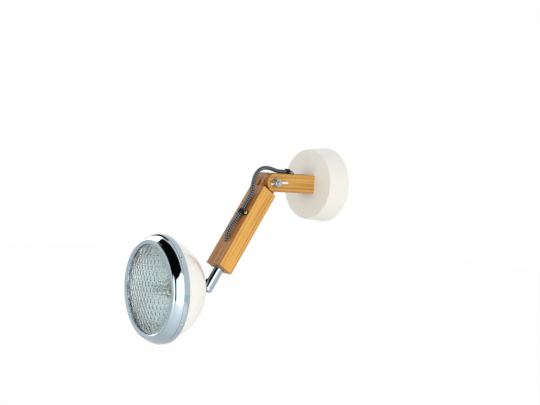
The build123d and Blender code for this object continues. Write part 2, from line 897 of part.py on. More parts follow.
for name, points in (("inlet", inlet_points), ("loop", loop_points), ("outlet", outlet_points)):
    path = FilletPolyline(*points, radius=bend_radii(points))
    volume = math.pi * cable_radius**2 * path.length
    radii = [round(radius, 1) for radius in bend_radii(points)]
    print(f"cable {name}: length {path.length:.1f}, radii {radii}, section times length {volume:.0f}")

os.makedirs("parts", exist_ok=True)
for name, shape in nodes.items():
    shapes = shape if isinstance(shape, list) else [shape]
    solids = [solid for one in shapes for solid in one.solids()]
    export_step(Compound(label=name, children=solids), f"parts/{name}.step")
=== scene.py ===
"""Adjustable wall lamp: finished pieces, materials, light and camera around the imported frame."""
import json
import math

import bpy
from bpy.props import FloatProperty, FloatVectorProperty, IntProperty, PointerProperty
from bpy.types import Operator, Panel, PropertyGroup
from mathutils import Matrix, Vector


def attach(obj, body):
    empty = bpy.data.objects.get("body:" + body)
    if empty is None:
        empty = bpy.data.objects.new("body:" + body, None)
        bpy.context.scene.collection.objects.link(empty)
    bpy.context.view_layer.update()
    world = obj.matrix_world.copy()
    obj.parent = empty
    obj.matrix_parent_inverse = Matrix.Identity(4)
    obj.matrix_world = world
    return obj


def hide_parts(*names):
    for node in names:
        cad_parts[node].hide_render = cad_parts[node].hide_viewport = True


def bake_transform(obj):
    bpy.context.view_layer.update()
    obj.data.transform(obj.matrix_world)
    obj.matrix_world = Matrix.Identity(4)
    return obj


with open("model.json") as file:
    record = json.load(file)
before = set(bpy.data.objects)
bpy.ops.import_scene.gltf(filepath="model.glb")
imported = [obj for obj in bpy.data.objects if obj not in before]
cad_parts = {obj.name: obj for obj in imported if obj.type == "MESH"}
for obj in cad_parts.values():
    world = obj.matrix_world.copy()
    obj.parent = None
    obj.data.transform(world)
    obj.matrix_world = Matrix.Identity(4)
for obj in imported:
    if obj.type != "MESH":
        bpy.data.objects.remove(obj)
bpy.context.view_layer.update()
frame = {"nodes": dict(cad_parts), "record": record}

bl_info = {
    "name": "Wall Lamp",
    "version": (1, 0, 0),
    "blender": (4, 5, 0),
    "location": "View3D > Sidebar > Wall Lamp",
    "description": "Models and finishes an adjustable wall lamp around its packed frame",
    "category": "Object",
}

MM = 0.001


# Properties

def size(name, description, millimetres):
    """Length property with its default in millimetres."""
    return FloatProperty(name=name, description=description, default=millimetres * MM, min=0.0,
                         unit="LENGTH", precision=5)


def colour(name, description, value):
    """Colour property."""
    return FloatVectorProperty(name=name, description=description, default=value, size=3, min=0.0, max=1.0,
                               subtype="COLOR")


def power(name, description, watts):
    """Power of a light."""
    return FloatProperty(name=name, description=description, default=watts, unit="POWER")


class CableSizes(PropertyGroup):
    """Braided cable."""
    radius: size("Radius", "Outer radius of the braided cable", 2.8)
    core_radius: size("Core radius", "Radius of the sheath under the braid", 2.3)
    strand_radius: size("Strand radius", "Radius at which the strands run around the cable", 2.5)
    strand_width: size("Strand width", "Width of one flat strand", 2.1)
    strand_rise: size("Strand rise", "Height of a strand's rounded back", 0.18)
    strand_wave: size("Strand wave", "How far a strand rises and dips as it passes over and under", 0.11)
    strands: IntProperty(name="Strands", description="Strands that run round in each direction", default=5,
                         min=3, subtype="UNSIGNED")


class ClipSizes(PropertyGroup):
    """Saddle clips and their screws."""
    width: size("Clip width", "Width of the strip", 6.0)
    thickness: size("Clip thickness", "Thickness of the strip", 1.2)
    foot_radius: size("Foot radius", "Radius of a foot around its screw", 4.1)
    tunnel: size("Tunnel radius", "Inner radius of the arch over the cable", 2.85)
    bend: size("Foot bend", "Radius of the bend between foot and arch", 0.7)
    screw_x: size("Screw distance", "Distance of a screw from the middle", 8.3)
    head_radius: size("Head radius", "Radius of the round screw head", 2.7)
    head_height: size("Head height", "Height of the round screw head", 1.9)
    shank_radius: size("Shank radius", "Radius of the screw's shank", 1.5)
    shank_length: size("Shank length", "Length of the screw in the wood", 11.0)
    recess_width: size("Recess width", "Width of an arm of the cross recess", 0.8)
    recess_length: size("Recess length", "Length of an arm of the cross recess", 3.2)
    recess_depth: size("Recess depth", "Depth of the cross recess", 1.1)


class HingeSizes(PropertyGroup):
    """Bolt and wing nut of the hinge."""
    stock_half_width: size("Half width", "Half the width of the wooden arms", 14.5)
    bolt_radius: size("Bolt radius", "Radius of the bolt", 3.0)
    bolt_head_radius: size("Bolt head radius", "Radius of the round bolt head", 7.0)
    bolt_head_height: size("Bolt head height", "Height of the round bolt head", 3.4)
    bolt_end: size("Bolt end", "Distance of the bolt's end from the middle of the hinge", 25.95)
    thread_pitch: size("Thread pitch", "Pitch of the bolt's thread", 1.0)
    thread_depth: size("Thread depth", "Depth of the bolt's thread", 0.45)
    thread_length: size("Thread length", "Length of the thread that shows", 9.0)
    thread_taper: size("Thread taper", "How much thinner the thread's last turn is", 0.1)
    nut_seat: size("Nut seat", "Distance of the nut's base from the middle of the hinge", 15.95)
    nut_height: size("Nut height", "Height of the nut's boss", 8.0)
    nut_base_radius: size("Nut base radius", "Radius of the boss at its base", 6.2)
    nut_base_height: size("Nut base height", "Height of the boss's straight base", 1.2)
    nut_top_radius: size("Nut top radius", "Radius of the boss at its top", 5.0)
    wing_reach: size("Wing reach", "Distance from the bolt to the tip of a wing", 16.5)
    wing_thickness: size("Wing thickness", "Thickness of a wing", 2.6)
    wing_tip_radius: size("Wing tip radius", "Radius of a wing's round tip", 3.0)
    wing_tip_height: size("Wing tip height", "Height of the tip's middle above the nut's base", 8.4)
    wing_root_radius: size("Wing root radius", "Half the height of a wing at its root", 2.6)
    wing_root_reach: size("Wing root reach", "Distance of the root's middle from the bolt", 4.2)
    cast_grain: size("Cast grain", "Size of the cells that round the casting", 0.3)


class HeadSizes(PropertyGroup):
    """Lamp head, along its axis from the tilt pin."""
    bowl_radius: size("Bowl radius", "Outer radius of the bowl's ball", 69.5)
    bowl_wall: size("Bowl wall", "Thickness of the bowl", 1.2)
    bowl_back: size("Bowl back", "Distance of the bowl's flat back from the tilt pin", 14.4)
    bowl_seat: size("Bowl seat", "Radius of the bowl's flat back", 9.5)
    bowl_hole: size("Bowl hole", "Radius of the hole for the stud", 6.03)
    bowl_edge: size("Bowl edge", "Distance of the bowl's edge from the tilt pin", 75.9)
    bead: size("Bead", "How far the bead stands out around the bowl's edge", 0.4)
    bead_height: size("Bead height", "Height of the bead", 5.9)
    rim_sheet: size("Rim sheet", "Thickness of the rim", 1.2)
    rim_inside: size("Rim inside", "Radius inside the rear band", 70.2)
    band_radius: size("Band radius", "Outer radius of the rim's rear band", 72.0)
    band_back: size("Band back", "Where the rear band starts", 68.9)
    band_front: size("Band front", "Where the rear band ends", 76.3)
    groove: size("Groove", "Depth of the groove between the rear band and the body", 0.6)
    rim_radius: size("Rim radius", "Largest radius of the rim", 71.9)
    body_back: size("Body back", "Where the rim's convex body starts", 76.8)
    body_bulge: size("Body bulge", "How far the rim's body swells", 0.9)
    lip_back: size("Lip back", "Where the front bead starts", 88.2)
    lip_radius: size("Lip radius", "Outer radius of the front bead", 66.0)
    crest: size("Crest", "Front of the front bead", 90.7)
    crest_radius: size("Crest radius", "Radius of the front bead's crest", 63.0)
    lip_inside: size("Lip inside", "Where the front bead ends at the rim's opening", 89.4)
    aperture: size("Aperture", "Radius of the rim's opening", 59.0)
    gasket_front: size("Gasket front", "Inner face of the rim's front", 87.0)
    lens_edge: size("Lens edge", "Radius of the lens's flat edge", 62.0)
    lens_back: size("Lens back", "Back of the lens's edge", 83.25)
    lens_front: size("Lens front", "Front of the lens's edge", 86.2)
    lens_shoulder: size("Lens shoulder", "Height of the step from the lens's edge up to its dome", 1.4)
    shoulder_edge: size("Shoulder edge", "Height of the slope from that step into the dome", 0.3)
    lens_dome: size("Lens dome", "Radius of the lens's dome", 58.4)
    lens_rise: size("Lens rise", "Rise of the lens's dome", 10.0)
    lens_thickness: size("Lens thickness", "Thickness of the lens in the middle", 3.6)
    lens_inside: size("Lens inside", "Radius of the hollow behind the lens", 57.2)
    pillow_pitch: size("Pillow pitch", "Distance between the lens's pillows", 8.2)
    pillow_depth: size("Pillow depth", "Depth of a pillow", 0.75)
    pillow_border: size("Pillow border", "Plain border around the pillows", 3.2)
    screw_setback: size("Rim screw place", "Distance of the rim screws from the band's back", 3.0)
    screw_radius: size("Rim screw radius", "Radius of a rim screw's head", 2.4)
    screw_height: size("Rim screw height", "Height of a rim screw's head", 0.7)
    screw_shank: size("Rim screw shank", "Radius of a rim screw's shank", 1.5)
    screw_length: size("Rim screw length", "Length of a rim screw's shank", 4.0)
    screw_slot: size("Rim screw slot", "Width of the slot in a rim screw", 0.6)
    slot_depth: size("Rim screw slot depth", "Depth of the slot in a rim screw", 0.45)


class LampColours(PropertyGroup):
    """Colours of the finishes."""
    cream: colour("Cream", "Enamel of the cover", (0.847, 0.834, 0.762))
    # The bowl's enamel is the cover's cream, painted lighter for the stronger light that falls on the bowl
    bowl_cream_painted_light: colour("Bowl cream, painted light", "Enamel of the bowl", (0.93, 0.91, 0.84))
    wood_light: colour("Wood, light", "Pale part of the wood's grain", (0.82, 0.43, 0.08))
    wood_dark: colour("Wood, dark", "Dark lines of the wood's grain", (0.46, 0.19, 0.032))
    # Darker, duller tint of the faces between the wood's two sides: painted shade, with the real darker end
    # grain at the ends
    wood_shade_and_end_grain: colour("Wood, shade and end grain", "Tint of the wood's faces between its two sides", (0.51, 0.385, 0.27))
    chrome: colour("Chrome", "Plating of the rim and the neck", (0.43, 0.51, 0.56))
    zinc: colour("Zinc", "Plating of the nut, bolt and strap", (0.52, 0.53, 0.54))
    brass: colour("Brass", "Screws and insert", (0.47, 0.49, 0.32))
    black_paint: colour("Black paint", "Saddle clips", (0.012, 0.012, 0.013))
    rubber: colour("Rubber", "Gasket and grommet", (0.016, 0.017, 0.018))
    strand_black: colour("Black strand", "Dark strands of the braid", (0.005, 0.006, 0.008))
    strand_grey: colour("Grey strand", "Pale strands of the braid", (0.165, 0.205, 0.225))
    glass: colour("Lens glass", "Tint of the lens", (0.78, 0.87, 0.87))
    ground: colour("Ground glass", "Ground edge of the lens", (0.62, 0.68, 0.67))
    bulb: colour("Bulb glass", "Tint of the frosted bulb", (0.98, 0.95, 0.93))
    aluminium: colour("Aluminium", "Reflector", (0.86, 0.87, 0.87))
    ceramic: colour("Ceramic", "Lamp holder", (0.80, 0.78, 0.72))
    plastic: colour("Plastic", "Terminal block", (0.72, 0.70, 0.62))
    insulation: colour("Insulation", "Wires", (0.10, 0.05, 0.03))


class StageSettings(PropertyGroup):
    """Light and camera."""
    ambient: FloatProperty(name="Ambient", description="Strength of the light from all around", default=0.75,
                           subtype="FACTOR")
    key_power: power("Key light", "Power of the soft light on the right", 31.0)
    panel_power: power("Panel", "Power of the same light as bright metal shows it", 40.0)
    side_power: power("Side light", "Power of the soft light on the left", 16.0)
    low_power: power("Low light", "Power of the soft light from below right", 1.6)
    focal: FloatProperty(name="Focal length", description="Focal length of the camera, in millimetres",
                         default=106.4, unit="CAMERA")
    floor_drop: size("Floor drop", "Depth of the floor below the middle of the cover", 1500.0)


# Places of the pieces, from the frame's own joints

joints = {joint["name"]: joint for joint in frame["record"]["behaviour"]["joints"]}
hinge_point = Vector(joints["arm_hinge"]["pos_m"])
tilt_point = Vector(joints["head_tilt"]["pos_m"])
arm_along = Vector(joints["neck_swivel"]["axis"])
arm_angle = math.atan2(-arm_along.y, -arm_along.z)
arm_front = Vector((0.0, -math.cos(arm_angle), math.sin(arm_angle)))
neck_cross = -Vector(joints["head_tilt"]["axis"])
neck_turn = math.atan2(neck_cross.dot(arm_front), neck_cross.x)

# The head's turn about the tilt pin, half the depth of the arms' wood, the clips' distances from the hinge,
# the lower one's step aside, and the distance of the head's middle from the tilt pin
HEAD_ANGLE = math.radians(56.2)
STOCK_HALF_HEIGHT = 12.5 * MM
UPPER_CLIP = 32.5 * MM
LOWER_CLIP = 58.2 * MM
LOWER_CLIP_X = 0.6 * MM
HEAD_REACH = 82.0 * MM


def turn(angle, axis):
    """Turn about a main axis."""
    return Matrix.Rotation(angle, 4, axis)


def shift(x=0.0, y=0.0, z=0.0):
    """Move without a turn."""
    return Matrix.Translation((x, y, z))


QUARTER = math.pi / 2
arm_turn = turn(math.pi - arm_angle, "X")
hinge_place = Matrix.Translation(hinge_point) @ turn(QUARTER, "X") @ turn(QUARTER, "Y")
arm_place = Matrix.Translation(hinge_point) @ arm_turn
head_place = Matrix.Translation(tilt_point) @ arm_turn @ turn(neck_turn, "Z") @ turn(-HEAD_ANGLE, "X")
head_middle = head_place @ Vector((0.0, 0.0, HEAD_REACH))
upper_clip_place = shift(0.0, hinge_point.y + UPPER_CLIP, STOCK_HALF_HEIGHT)
lower_clip_place = arm_place @ shift(LOWER_CLIP_X, STOCK_HALF_HEIGHT, LOWER_CLIP) @ turn(-QUARTER, "X")


# Modelling helpers

# Points nearer to each other than this are merged: in most pieces, in drawn ones and at the lens's border
FINE_GAP, DRAWN_GAP, BORDER_GAP = 0.002 * MM, 0.01 * MM, 0.02 * MM


def clear_selection():
    """Leaves edit mode with nothing selected."""
    active = bpy.context.view_layer.objects.active
    if active is not None and active.mode != "OBJECT":
        bpy.ops.object.mode_set(mode="OBJECT")
    bpy.ops.object.select_all(action="DESELECT")


def take(*pieces):
    """Selects only these pieces and makes the first one active."""
    clear_selection()
    for piece in pieces:
        piece.select_set(True)
    bpy.context.view_layer.objects.active = pieces[0]


def call_active(name):
    """Names the active piece and its mesh."""
    piece = bpy.context.object
    piece.name = name
    piece.data.name = name
    return piece


def edit(piece, mode="VERT"):
    """Opens a piece in edit mode with everything selected."""
    take(piece)
    bpy.ops.object.mode_set(mode="EDIT")
    bpy.ops.mesh.select_mode(type=mode)
    bpy.ops.mesh.select_all(action="SELECT")


def close_edit():
    """Back to object mode."""
    bpy.ops.object.mode_set(mode="OBJECT")


def weld(piece, gap=FINE_GAP):
    """Merges doubled points and turns every face outwards."""
    edit(piece)
    bpy.ops.mesh.remove_doubles(threshold=gap)
    bpy.ops.mesh.normals_make_consistent(inside=False)
    close_edit()


def settle(piece, place):
    """Moves a piece to its place and puts that place into its mesh."""
    take(piece)
    piece.matrix_world = place
    bpy.ops.object.transform_apply(location=True, rotation=True, scale=True)
    return piece


def modify(piece, kind, **values):
    """Adds a modifier and applies it."""
    take(piece)
    modifier = piece.modifiers.new(kind.title(), kind)
    for key, value in values.items():
        setattr(modifier, key, value)
    bpy.ops.object.modifier_apply(modifier=modifier.name)


def round_edges(piece, width, segments, degrees):
    """Rounds the sharp edges of a piece."""
    modify(piece, "BEVEL", width=width, segments=segments, limit_method="ANGLE",
           angle_limit=math.radians(degrees), harden_normals=False)


def smooth(piece, degrees):
    """Smooth shading up to an angle between faces."""
    take(piece)
    bpy.ops.object.shade_smooth_by_angle(angle=math.radians(degrees))


def join(name, pieces):
    """Joins pieces into one."""
    take(*pieces)
    if len(pieces) > 1:
        bpy.ops.object.join()
    return call_active(name)


def copy_to(piece, places):
    """Copies of a piece, each with its own mesh, at the places. The piece itself is used up."""
    copies = []
    for place in places:
        take(piece)
        bpy.ops.object.duplicate(linked=False)
        copies.append(settle(bpy.context.object, place))
    bpy.data.objects.remove(piece)
    return copies


def draw_edges(x, z):
    """Draws the selected edges out by a way in the XZ plane."""
    bpy.ops.mesh.extrude_edges_move(TRANSFORM_OT_translate={"value": (x, 0.0, z)})


def turned(name, profile, steps):
    """Draws a profile of (radius, height) points edge by edge and spins it round the Z axis."""
    clear_selection()
    bpy.ops.mesh.primitive_plane_add(size=MM)
    piece = call_active(name)
    edit(piece)
    bpy.ops.mesh.merge(type="CENTER")
    radius, height = profile[0]
    bpy.ops.transform.translate(value=(radius, 0.0, height))
    for next_radius, next_height in profile[1:]:
        way = (next_radius - radius, 0.0, next_height - height)
        bpy.ops.mesh.extrude_vertices_move(TRANSFORM_OT_translate={"value": way})
        radius, height = next_radius, next_height
    bpy.ops.mesh.select_all(action="SELECT")
    bpy.ops.mesh.spin(steps=steps, angle=math.tau, center=(0.0, 0.0, 0.0), axis=(0.0, 0.0, 1.0))
    close_edit()
    weld(piece)
    return piece


def bowed(start, end, bulge, steps):
    """Arc between two profile points that swells to the right of the way, without its first point."""
    (r0, z0), (r1, z1) = start, end
    half = math.hypot(r1 - r0, z1 - z0) / 2
    ahead = Vector((r1 - r0, z1 - z0)).normalized()
    right = Vector((ahead.y, -ahead.x))
    radius = (half**2 + bulge**2) / (2 * bulge)
    middle = Vector((r0 + r1, z0 + z1)) / 2 + right * (bulge - radius)
    sweep = math.asin(half / radius)
    points = []
    for step in range(1, steps + 1):
        angle = sweep * (2 * step / steps - 1)
        points.append(tuple(middle + (ahead * math.sin(angle) + right * math.cos(angle)) * radius))
    return points


def level_bulge(crest, end):
    """Swell of the arc that leaves a crest level and falls to an end."""
    run, fall = abs(end[0] - crest[0]), crest[1] - end[1]
    return math.hypot(run, fall) / 2 * math.tan(math.atan2(fall, run) / 2)


def ball_arc(radius, centre, z0, z1, steps):
    """Profile of a ball below its centre, between two heights."""
    first = math.acos((centre - z0) / radius)
    last = math.acos((centre - z1) / radius)
    angles = [first + (last - first) * step / steps for step in range(steps + 1)]
    return [(radius * math.sin(angle), centre - radius * math.cos(angle)) for angle in angles]


def ball_radius(half_width, rise):
    """Radius of the ball whose cap has this half width and rise."""
    return (half_width**2 + rise**2) / (2 * rise)


def cap(half_width, rise, steps):
    """Profile of a ball's cap on height 0, from its edge to its top."""
    ball = ball_radius(half_width, rise)
    spread = math.atan2(half_width, ball - rise)
    angles = [spread * (1 - step / steps) for step in range(steps + 1)]
    return [(ball * math.sin(angle), rise - ball + ball * math.cos(angle)) for angle in angles]


def finish(piece, material, slot, body, *nodes):
    """Gives a piece its material and body, and hides the nodes that it stands for. The slot is not used."""
    piece.data.materials.clear()
    piece.data.materials.append(material)
    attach(piece, body)
    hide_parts(*nodes)


# Materials

def node(tree, kind, **values):
    """Adds a node and sets its own fields."""
    added = tree.nodes.new(kind)
    for key, value in values.items():
        setattr(added, key, value)
    return added


def give(socket, value):
    """Links a socket to another one, or sets its value."""
    if isinstance(value, bpy.types.NodeSocket):
        socket.id_data.links.new(value, socket)
    else:
        socket.default_value = value


def fill(added, **values):
    """Gives a node's inputs their sockets or values, with underscores for the spaces in their names."""
    for key, value in values.items():
        give(added.inputs[key.replace("_", " ")], value)
    return added


def opaque(tint, factor=1.0, lift=0.0):
    """Tint times a factor plus a lift, as an opaque colour."""
    return (*(min(1.0, channel * factor + lift) for channel in tint), 1.0)


def noise(tree, vector, **values):
    """Value of a noise texture on a vector."""
    return fill(node(tree, "ShaderNodeTexNoise"), Vector=vector, **values).outputs["Fac"]


def object_place(tree):
    """Place on the object."""
    return node(tree, "ShaderNodeTexCoord").outputs["Object"]


def maths(tree, operation, *values):
    """Result of a math node. Each value is a socket or a number."""
    added = node(tree, "ShaderNodeMath", operation=operation)
    for socket, value in zip(added.inputs, values):
        give(socket, value)
    return added.outputs["Value"]


def stretched(tree, vector, scale, **values):
    """Mapping of a vector."""
    return fill(node(tree, "ShaderNodeMapping"), Vector=vector, Scale=scale, **values).outputs["Vector"]


def ramp(tree, value, low, high):
    """Smooth step of a value between two limits."""
    added = node(tree, "ShaderNodeMapRange", interpolation_type="SMOOTHSTEP")
    return fill(added, Value=value, From_Min=low, From_Max=high).outputs["Result"]


# The colour sockets of a mix node, which share their names with others
MIX_FIRST, MIX_SECOND, MIX_RESULT = 6, 7, 2


def mixed(tree, factor, first, second, blend="MIX"):
    """Mix of two colours. Each is a socket or a colour."""
    added = fill(node(tree, "ShaderNodeMix", data_type="RGBA", blend_type=blend), Factor=factor)
    give(added.inputs[MIX_FIRST], first)
    give(added.inputs[MIX_SECOND], second)
    return added.outputs[MIX_RESULT]


def mixed_shaders(tree, factor, first, second, output):
    """Mix of two shaders, by a factor, into the surface of an output node."""
    mix = fill(node(tree, "ShaderNodeMixShader"), Fac=factor)
    give(mix.inputs[1], first)
    give(mix.inputs[2], second)
    fill(tree.nodes[output], Surface=mix.outputs["Shader"])


FLOAT = "NodeSocketFloat"
COLOUR = "NodeSocketColor"
VECTOR = "NodeSocketVector"
SURFACE = {"Colour": COLOUR, "Roughness": FLOAT, "Height": FLOAT}


def surface_group(name, **inputs):
    """Node group that puts out a surface. Returns it with its input sockets and its output node."""
    group = bpy.data.node_groups.new(name, "ShaderNodeTree")
    for direction, sockets in (("INPUT", inputs), ("OUTPUT", SURFACE)):
        for socket, kind in sockets.items():
            group.interface.new_socket(name=socket, in_out=direction, socket_type=kind)
    return group, node(group, "NodeGroupInput").outputs, node(group, "NodeGroupOutput")


HALF_GREY = 0.5


def handled_group():
    """Slight changes of tone and gloss that making and handling leave, and a fine surface height."""
    group, given, out = surface_group("handled_surface", Colour=COLOUR, Tone=FLOAT, Roughness=FLOAT,
                                      Spread=FLOAT, Patch=FLOAT, Grain=FLOAT)
    place = object_place(group)
    patch = maths(group, "SUBTRACT", noise(group, place, Scale=given["Patch"], Detail=3.0), HALF_GREY)
    tone = maths(group, "MULTIPLY_ADD", patch, given["Tone"], 1.0)
    toned = fill(node(group, "ShaderNodeHueSaturation"), Color=given["Colour"], Value=tone)
    fill(out, Colour=toned.outputs["Color"],
         Roughness=maths(group, "MULTIPLY_ADD", patch, given["Spread"], given["Roughness"]),
         Height=noise(group, place, Scale=given["Grain"], Detail=2.0))


# The wood's grain: how often each mark repeats in a metre, across in two directions and along it, the limits
# of the noise that shows it, and how much it darkens the wood
BAND_SCALE, BAND_LIMITS, BAND_SHARE = (50.0, 85.0, 4.0), (0.30, 0.72), 0.15
LINE_SCALE, LINE_LIMITS, LINE_SHARE = (150.0, 290.0, 3.5), (0.012, 0.09), 0.6
PORE_SCALE, PORE_LIMITS, PORE_SHARE = (1900.0, 1900.0, 110.0), (0.60, 0.74), 0.12
# Width over which a side's own colour fades into the painted shade of the faces between the sides
SHADE_FADE = (0.1 * MM, 0.4 * MM)
WOOD_ROUGHNESS, DARK_ROUGHNESS = 0.40, 0.16
GRAIN_RELIEF = 0.4


def grain_group():
    """Straight wood grain along the Z axis of the vector: broad bands, fine dark lines and short pores. The
    faces between the two sides get painted shade, and the ends their darker end grain.
    """
    group, given, out = surface_group("straight_grain", Vector=VECTOR, Light=COLOUR, Dark=COLOUR, Edge=COLOUR,
                                      Width=FLOAT)
    vector = given["Vector"]
    spot = fill(node(group, "ShaderNodeSeparateXYZ"), Vector=vector).outputs
    from_edge = maths(group, "SUBTRACT", given["Width"], maths(group, "ABSOLUTE", spot["X"]))
    bands = noise(group, stretched(group, vector, BAND_SCALE), Scale=1.0, Detail=2.0, Distortion=0.4)
    lines = noise(group, stretched(group, vector, LINE_SCALE), Scale=1.0, Detail=1.0, Distortion=0.3)
    pores = noise(group, stretched(group, vector, PORE_SCALE), Scale=1.0, Detail=1.0)
    band = ramp(group, bands, *BAND_LIMITS)
    from_line = maths(group, "ABSOLUTE", maths(group, "SUBTRACT", lines, HALF_GREY))
    line = maths(group, "SUBTRACT", 1.0, ramp(group, from_line, *LINE_LIMITS))
    pore = ramp(group, pores, *PORE_LIMITS)
    dark = maths(group, "MULTIPLY_ADD", line, LINE_SHARE, maths(group, "MULTIPLY", band, BAND_SHARE))
    dark = maths(group, "MINIMUM", maths(group, "MULTIPLY_ADD", pore, PORE_SHARE, dark), 1.0)
    tone = mixed(group, dark, given["Light"], given["Dark"])
    relief = maths(group, "MULTIPLY", maths(group, "ADD", line, pore), GRAIN_RELIEF)
    # Painted shade: all but the two side faces are multiplied by the darker tint
    fill(out, Colour=mixed(group, ramp(group, from_edge, *SHADE_FADE), tone, given["Edge"], "MULTIPLY"),
         Roughness=maths(group, "MULTIPLY_ADD", dark, DARK_ROUGHNESS, WOOD_ROUGHNESS),
         Height=maths(group, "SUBTRACT", 1.0, relief))


def new_material(name):
    """Material with its tree and its shader."""
    material = bpy.data.materials.new(name)
    material.use_nodes = True
    return material, material.node_tree, material.node_tree.nodes["Principled BSDF"]


def bump(tree, shader, height, distance, strength=1.0):
    """Bump from a height into a shader's normal."""
    added = fill(node(tree, "ShaderNodeBump"), Strength=strength, Distance=distance * MM, Height=height)
    fill(shader, Normal=added.outputs["Normal"])


def surface_material(name, group_name, relief, strength=1.0):
    """Material whose shader shows a group's surface. Returns it with its tree, shader and group node."""
    material, tree, shader = new_material(name)
    surface = node(tree, "ShaderNodeGroup", node_tree=bpy.data.node_groups[group_name])
    fill(shader, Base_Color=surface.outputs["Colour"], Roughness=surface.outputs["Roughness"])
    bump(tree, shader, surface.outputs["Height"], relief, strength)
    return material, tree, shader, surface


def handled(name, tint, roughness, tone=0.05, spread=0.1, patch=60.0, grain=900.0, relief=0.004, **sockets):
    """Material with the handled surface. The other values go straight to the shader's sockets."""
    material, _, shader, surface = surface_material(name, "handled_surface", relief)
    fill(surface, Colour=opaque(tint), Tone=tone, Roughness=roughness, Spread=spread, Patch=patch,
         Grain=grain)
    fill(shader, **sockets)
    return material


def wood(name, place_in_arm, tints, half_width, depth):
    """Oiled wood with its grain along its arm, with painted shade on the faces between its two sides and
    darker end grain at its ends.
    """
    material, tree, _, grain = surface_material(name, "straight_grain", relief=0.06, strength=0.6)
    location, rotation, scale = place_in_arm.decompose()
    along = stretched(tree, object_place(tree), scale, Rotation=rotation.to_euler(), Location=location)
    fill(grain, Vector=along, Light=opaque(tints.wood_light, depth), Dark=opaque(tints.wood_dark, depth),
         Edge=opaque(tints.wood_shade_and_end_grain), Width=half_width)
    return material


THREAD_SCALE = (40.0, 0.15, 1.0)
PALE_THREAD, PALE_LIFT, DIM_THREAD = 1.5, 0.004, 0.6


def strand(name, tint):
    """Cotton strand: fine threads along the strand, from its own UV map, and a soft sheen."""
    material, tree, shader = new_material(name)
    place = node(tree, "ShaderNodeUVMap", uv_map="strand").outputs["UV"]
    threads = noise(tree, stretched(tree, place, THREAD_SCALE), Scale=1.0, Detail=2.0)
    tone = mixed(tree, threads, opaque(tint, DIM_THREAD), opaque(tint, PALE_THREAD, PALE_LIFT))
    fill(shader, Base_Color=tone, Roughness=0.85, Sheen_Weight=0.1, Sheen_Roughness=0.4)
    bump(tree, shader, threads, distance=0.04)
    return material


def uneven(name, tint, scale, detail, roughness, spread, **sockets):
    """Material with an uneven gloss. Returns it with its tree, its shader and the noise that was used."""
    material, tree, shader = new_material(name)
    haze = noise(tree, object_place(tree), Scale=scale, Detail=detail)
    gloss = maths(tree, "MULTIPLY_ADD", haze, spread, roughness)
    fill(shader, Base_Color=opaque(tint), Roughness=gloss, **sockets)
    return material, tree, shader, haze


def clear_glass(name, tint, roughness, transmission):
    """Glass with a trace of unevenness from pressing."""
    material, tree, shader, swirl = uneven(name, tint, scale=90.0, detail=1.0, roughness=roughness,
                                           spread=0.03, IOR=1.5, Transmission_Weight=transmission)
    bump(tree, shader, swirl, distance=0.02)
    return material


def plated(name, tint, low, high):
    """Bright plating with a slightly uneven polish."""
    return uneven(name, tint, scale=45.0, detail=3.0, roughness=low, spread=high - low, Metallic=1.0)[0]


finishes = {}

DRESSED_NODES = {
    "satin_enamel": ("wall_cover",),
    "zinc": ("mounting_strap", "cover_screws", "block_screw", "short_arm_screws", "hinge_washer",
             "neck_screw", "tilt_washers", "lug_washer", "lug_nut", "retaining_clips", "holder_screws"),
    "plastic": ("terminal_block",),
    "brass": ("terminal_screws", "neck_insert", "bulb_base"),
    "insulation": ("terminal_leads", "lamp_leads"),
    "rubber": ("cable_grommet", "lens_gasket"),
    "short_arm_wood": ("short_arm",),
    "long_arm_wood": ("long_arm",),
    "chrome": ("neck_tube", "tilt_pin", "head_lug"),
    "bright_aluminium": ("reflector",),
    "ceramic": ("lamp_holder",),
    "frosted_glass": ("bulb_glass",),
}


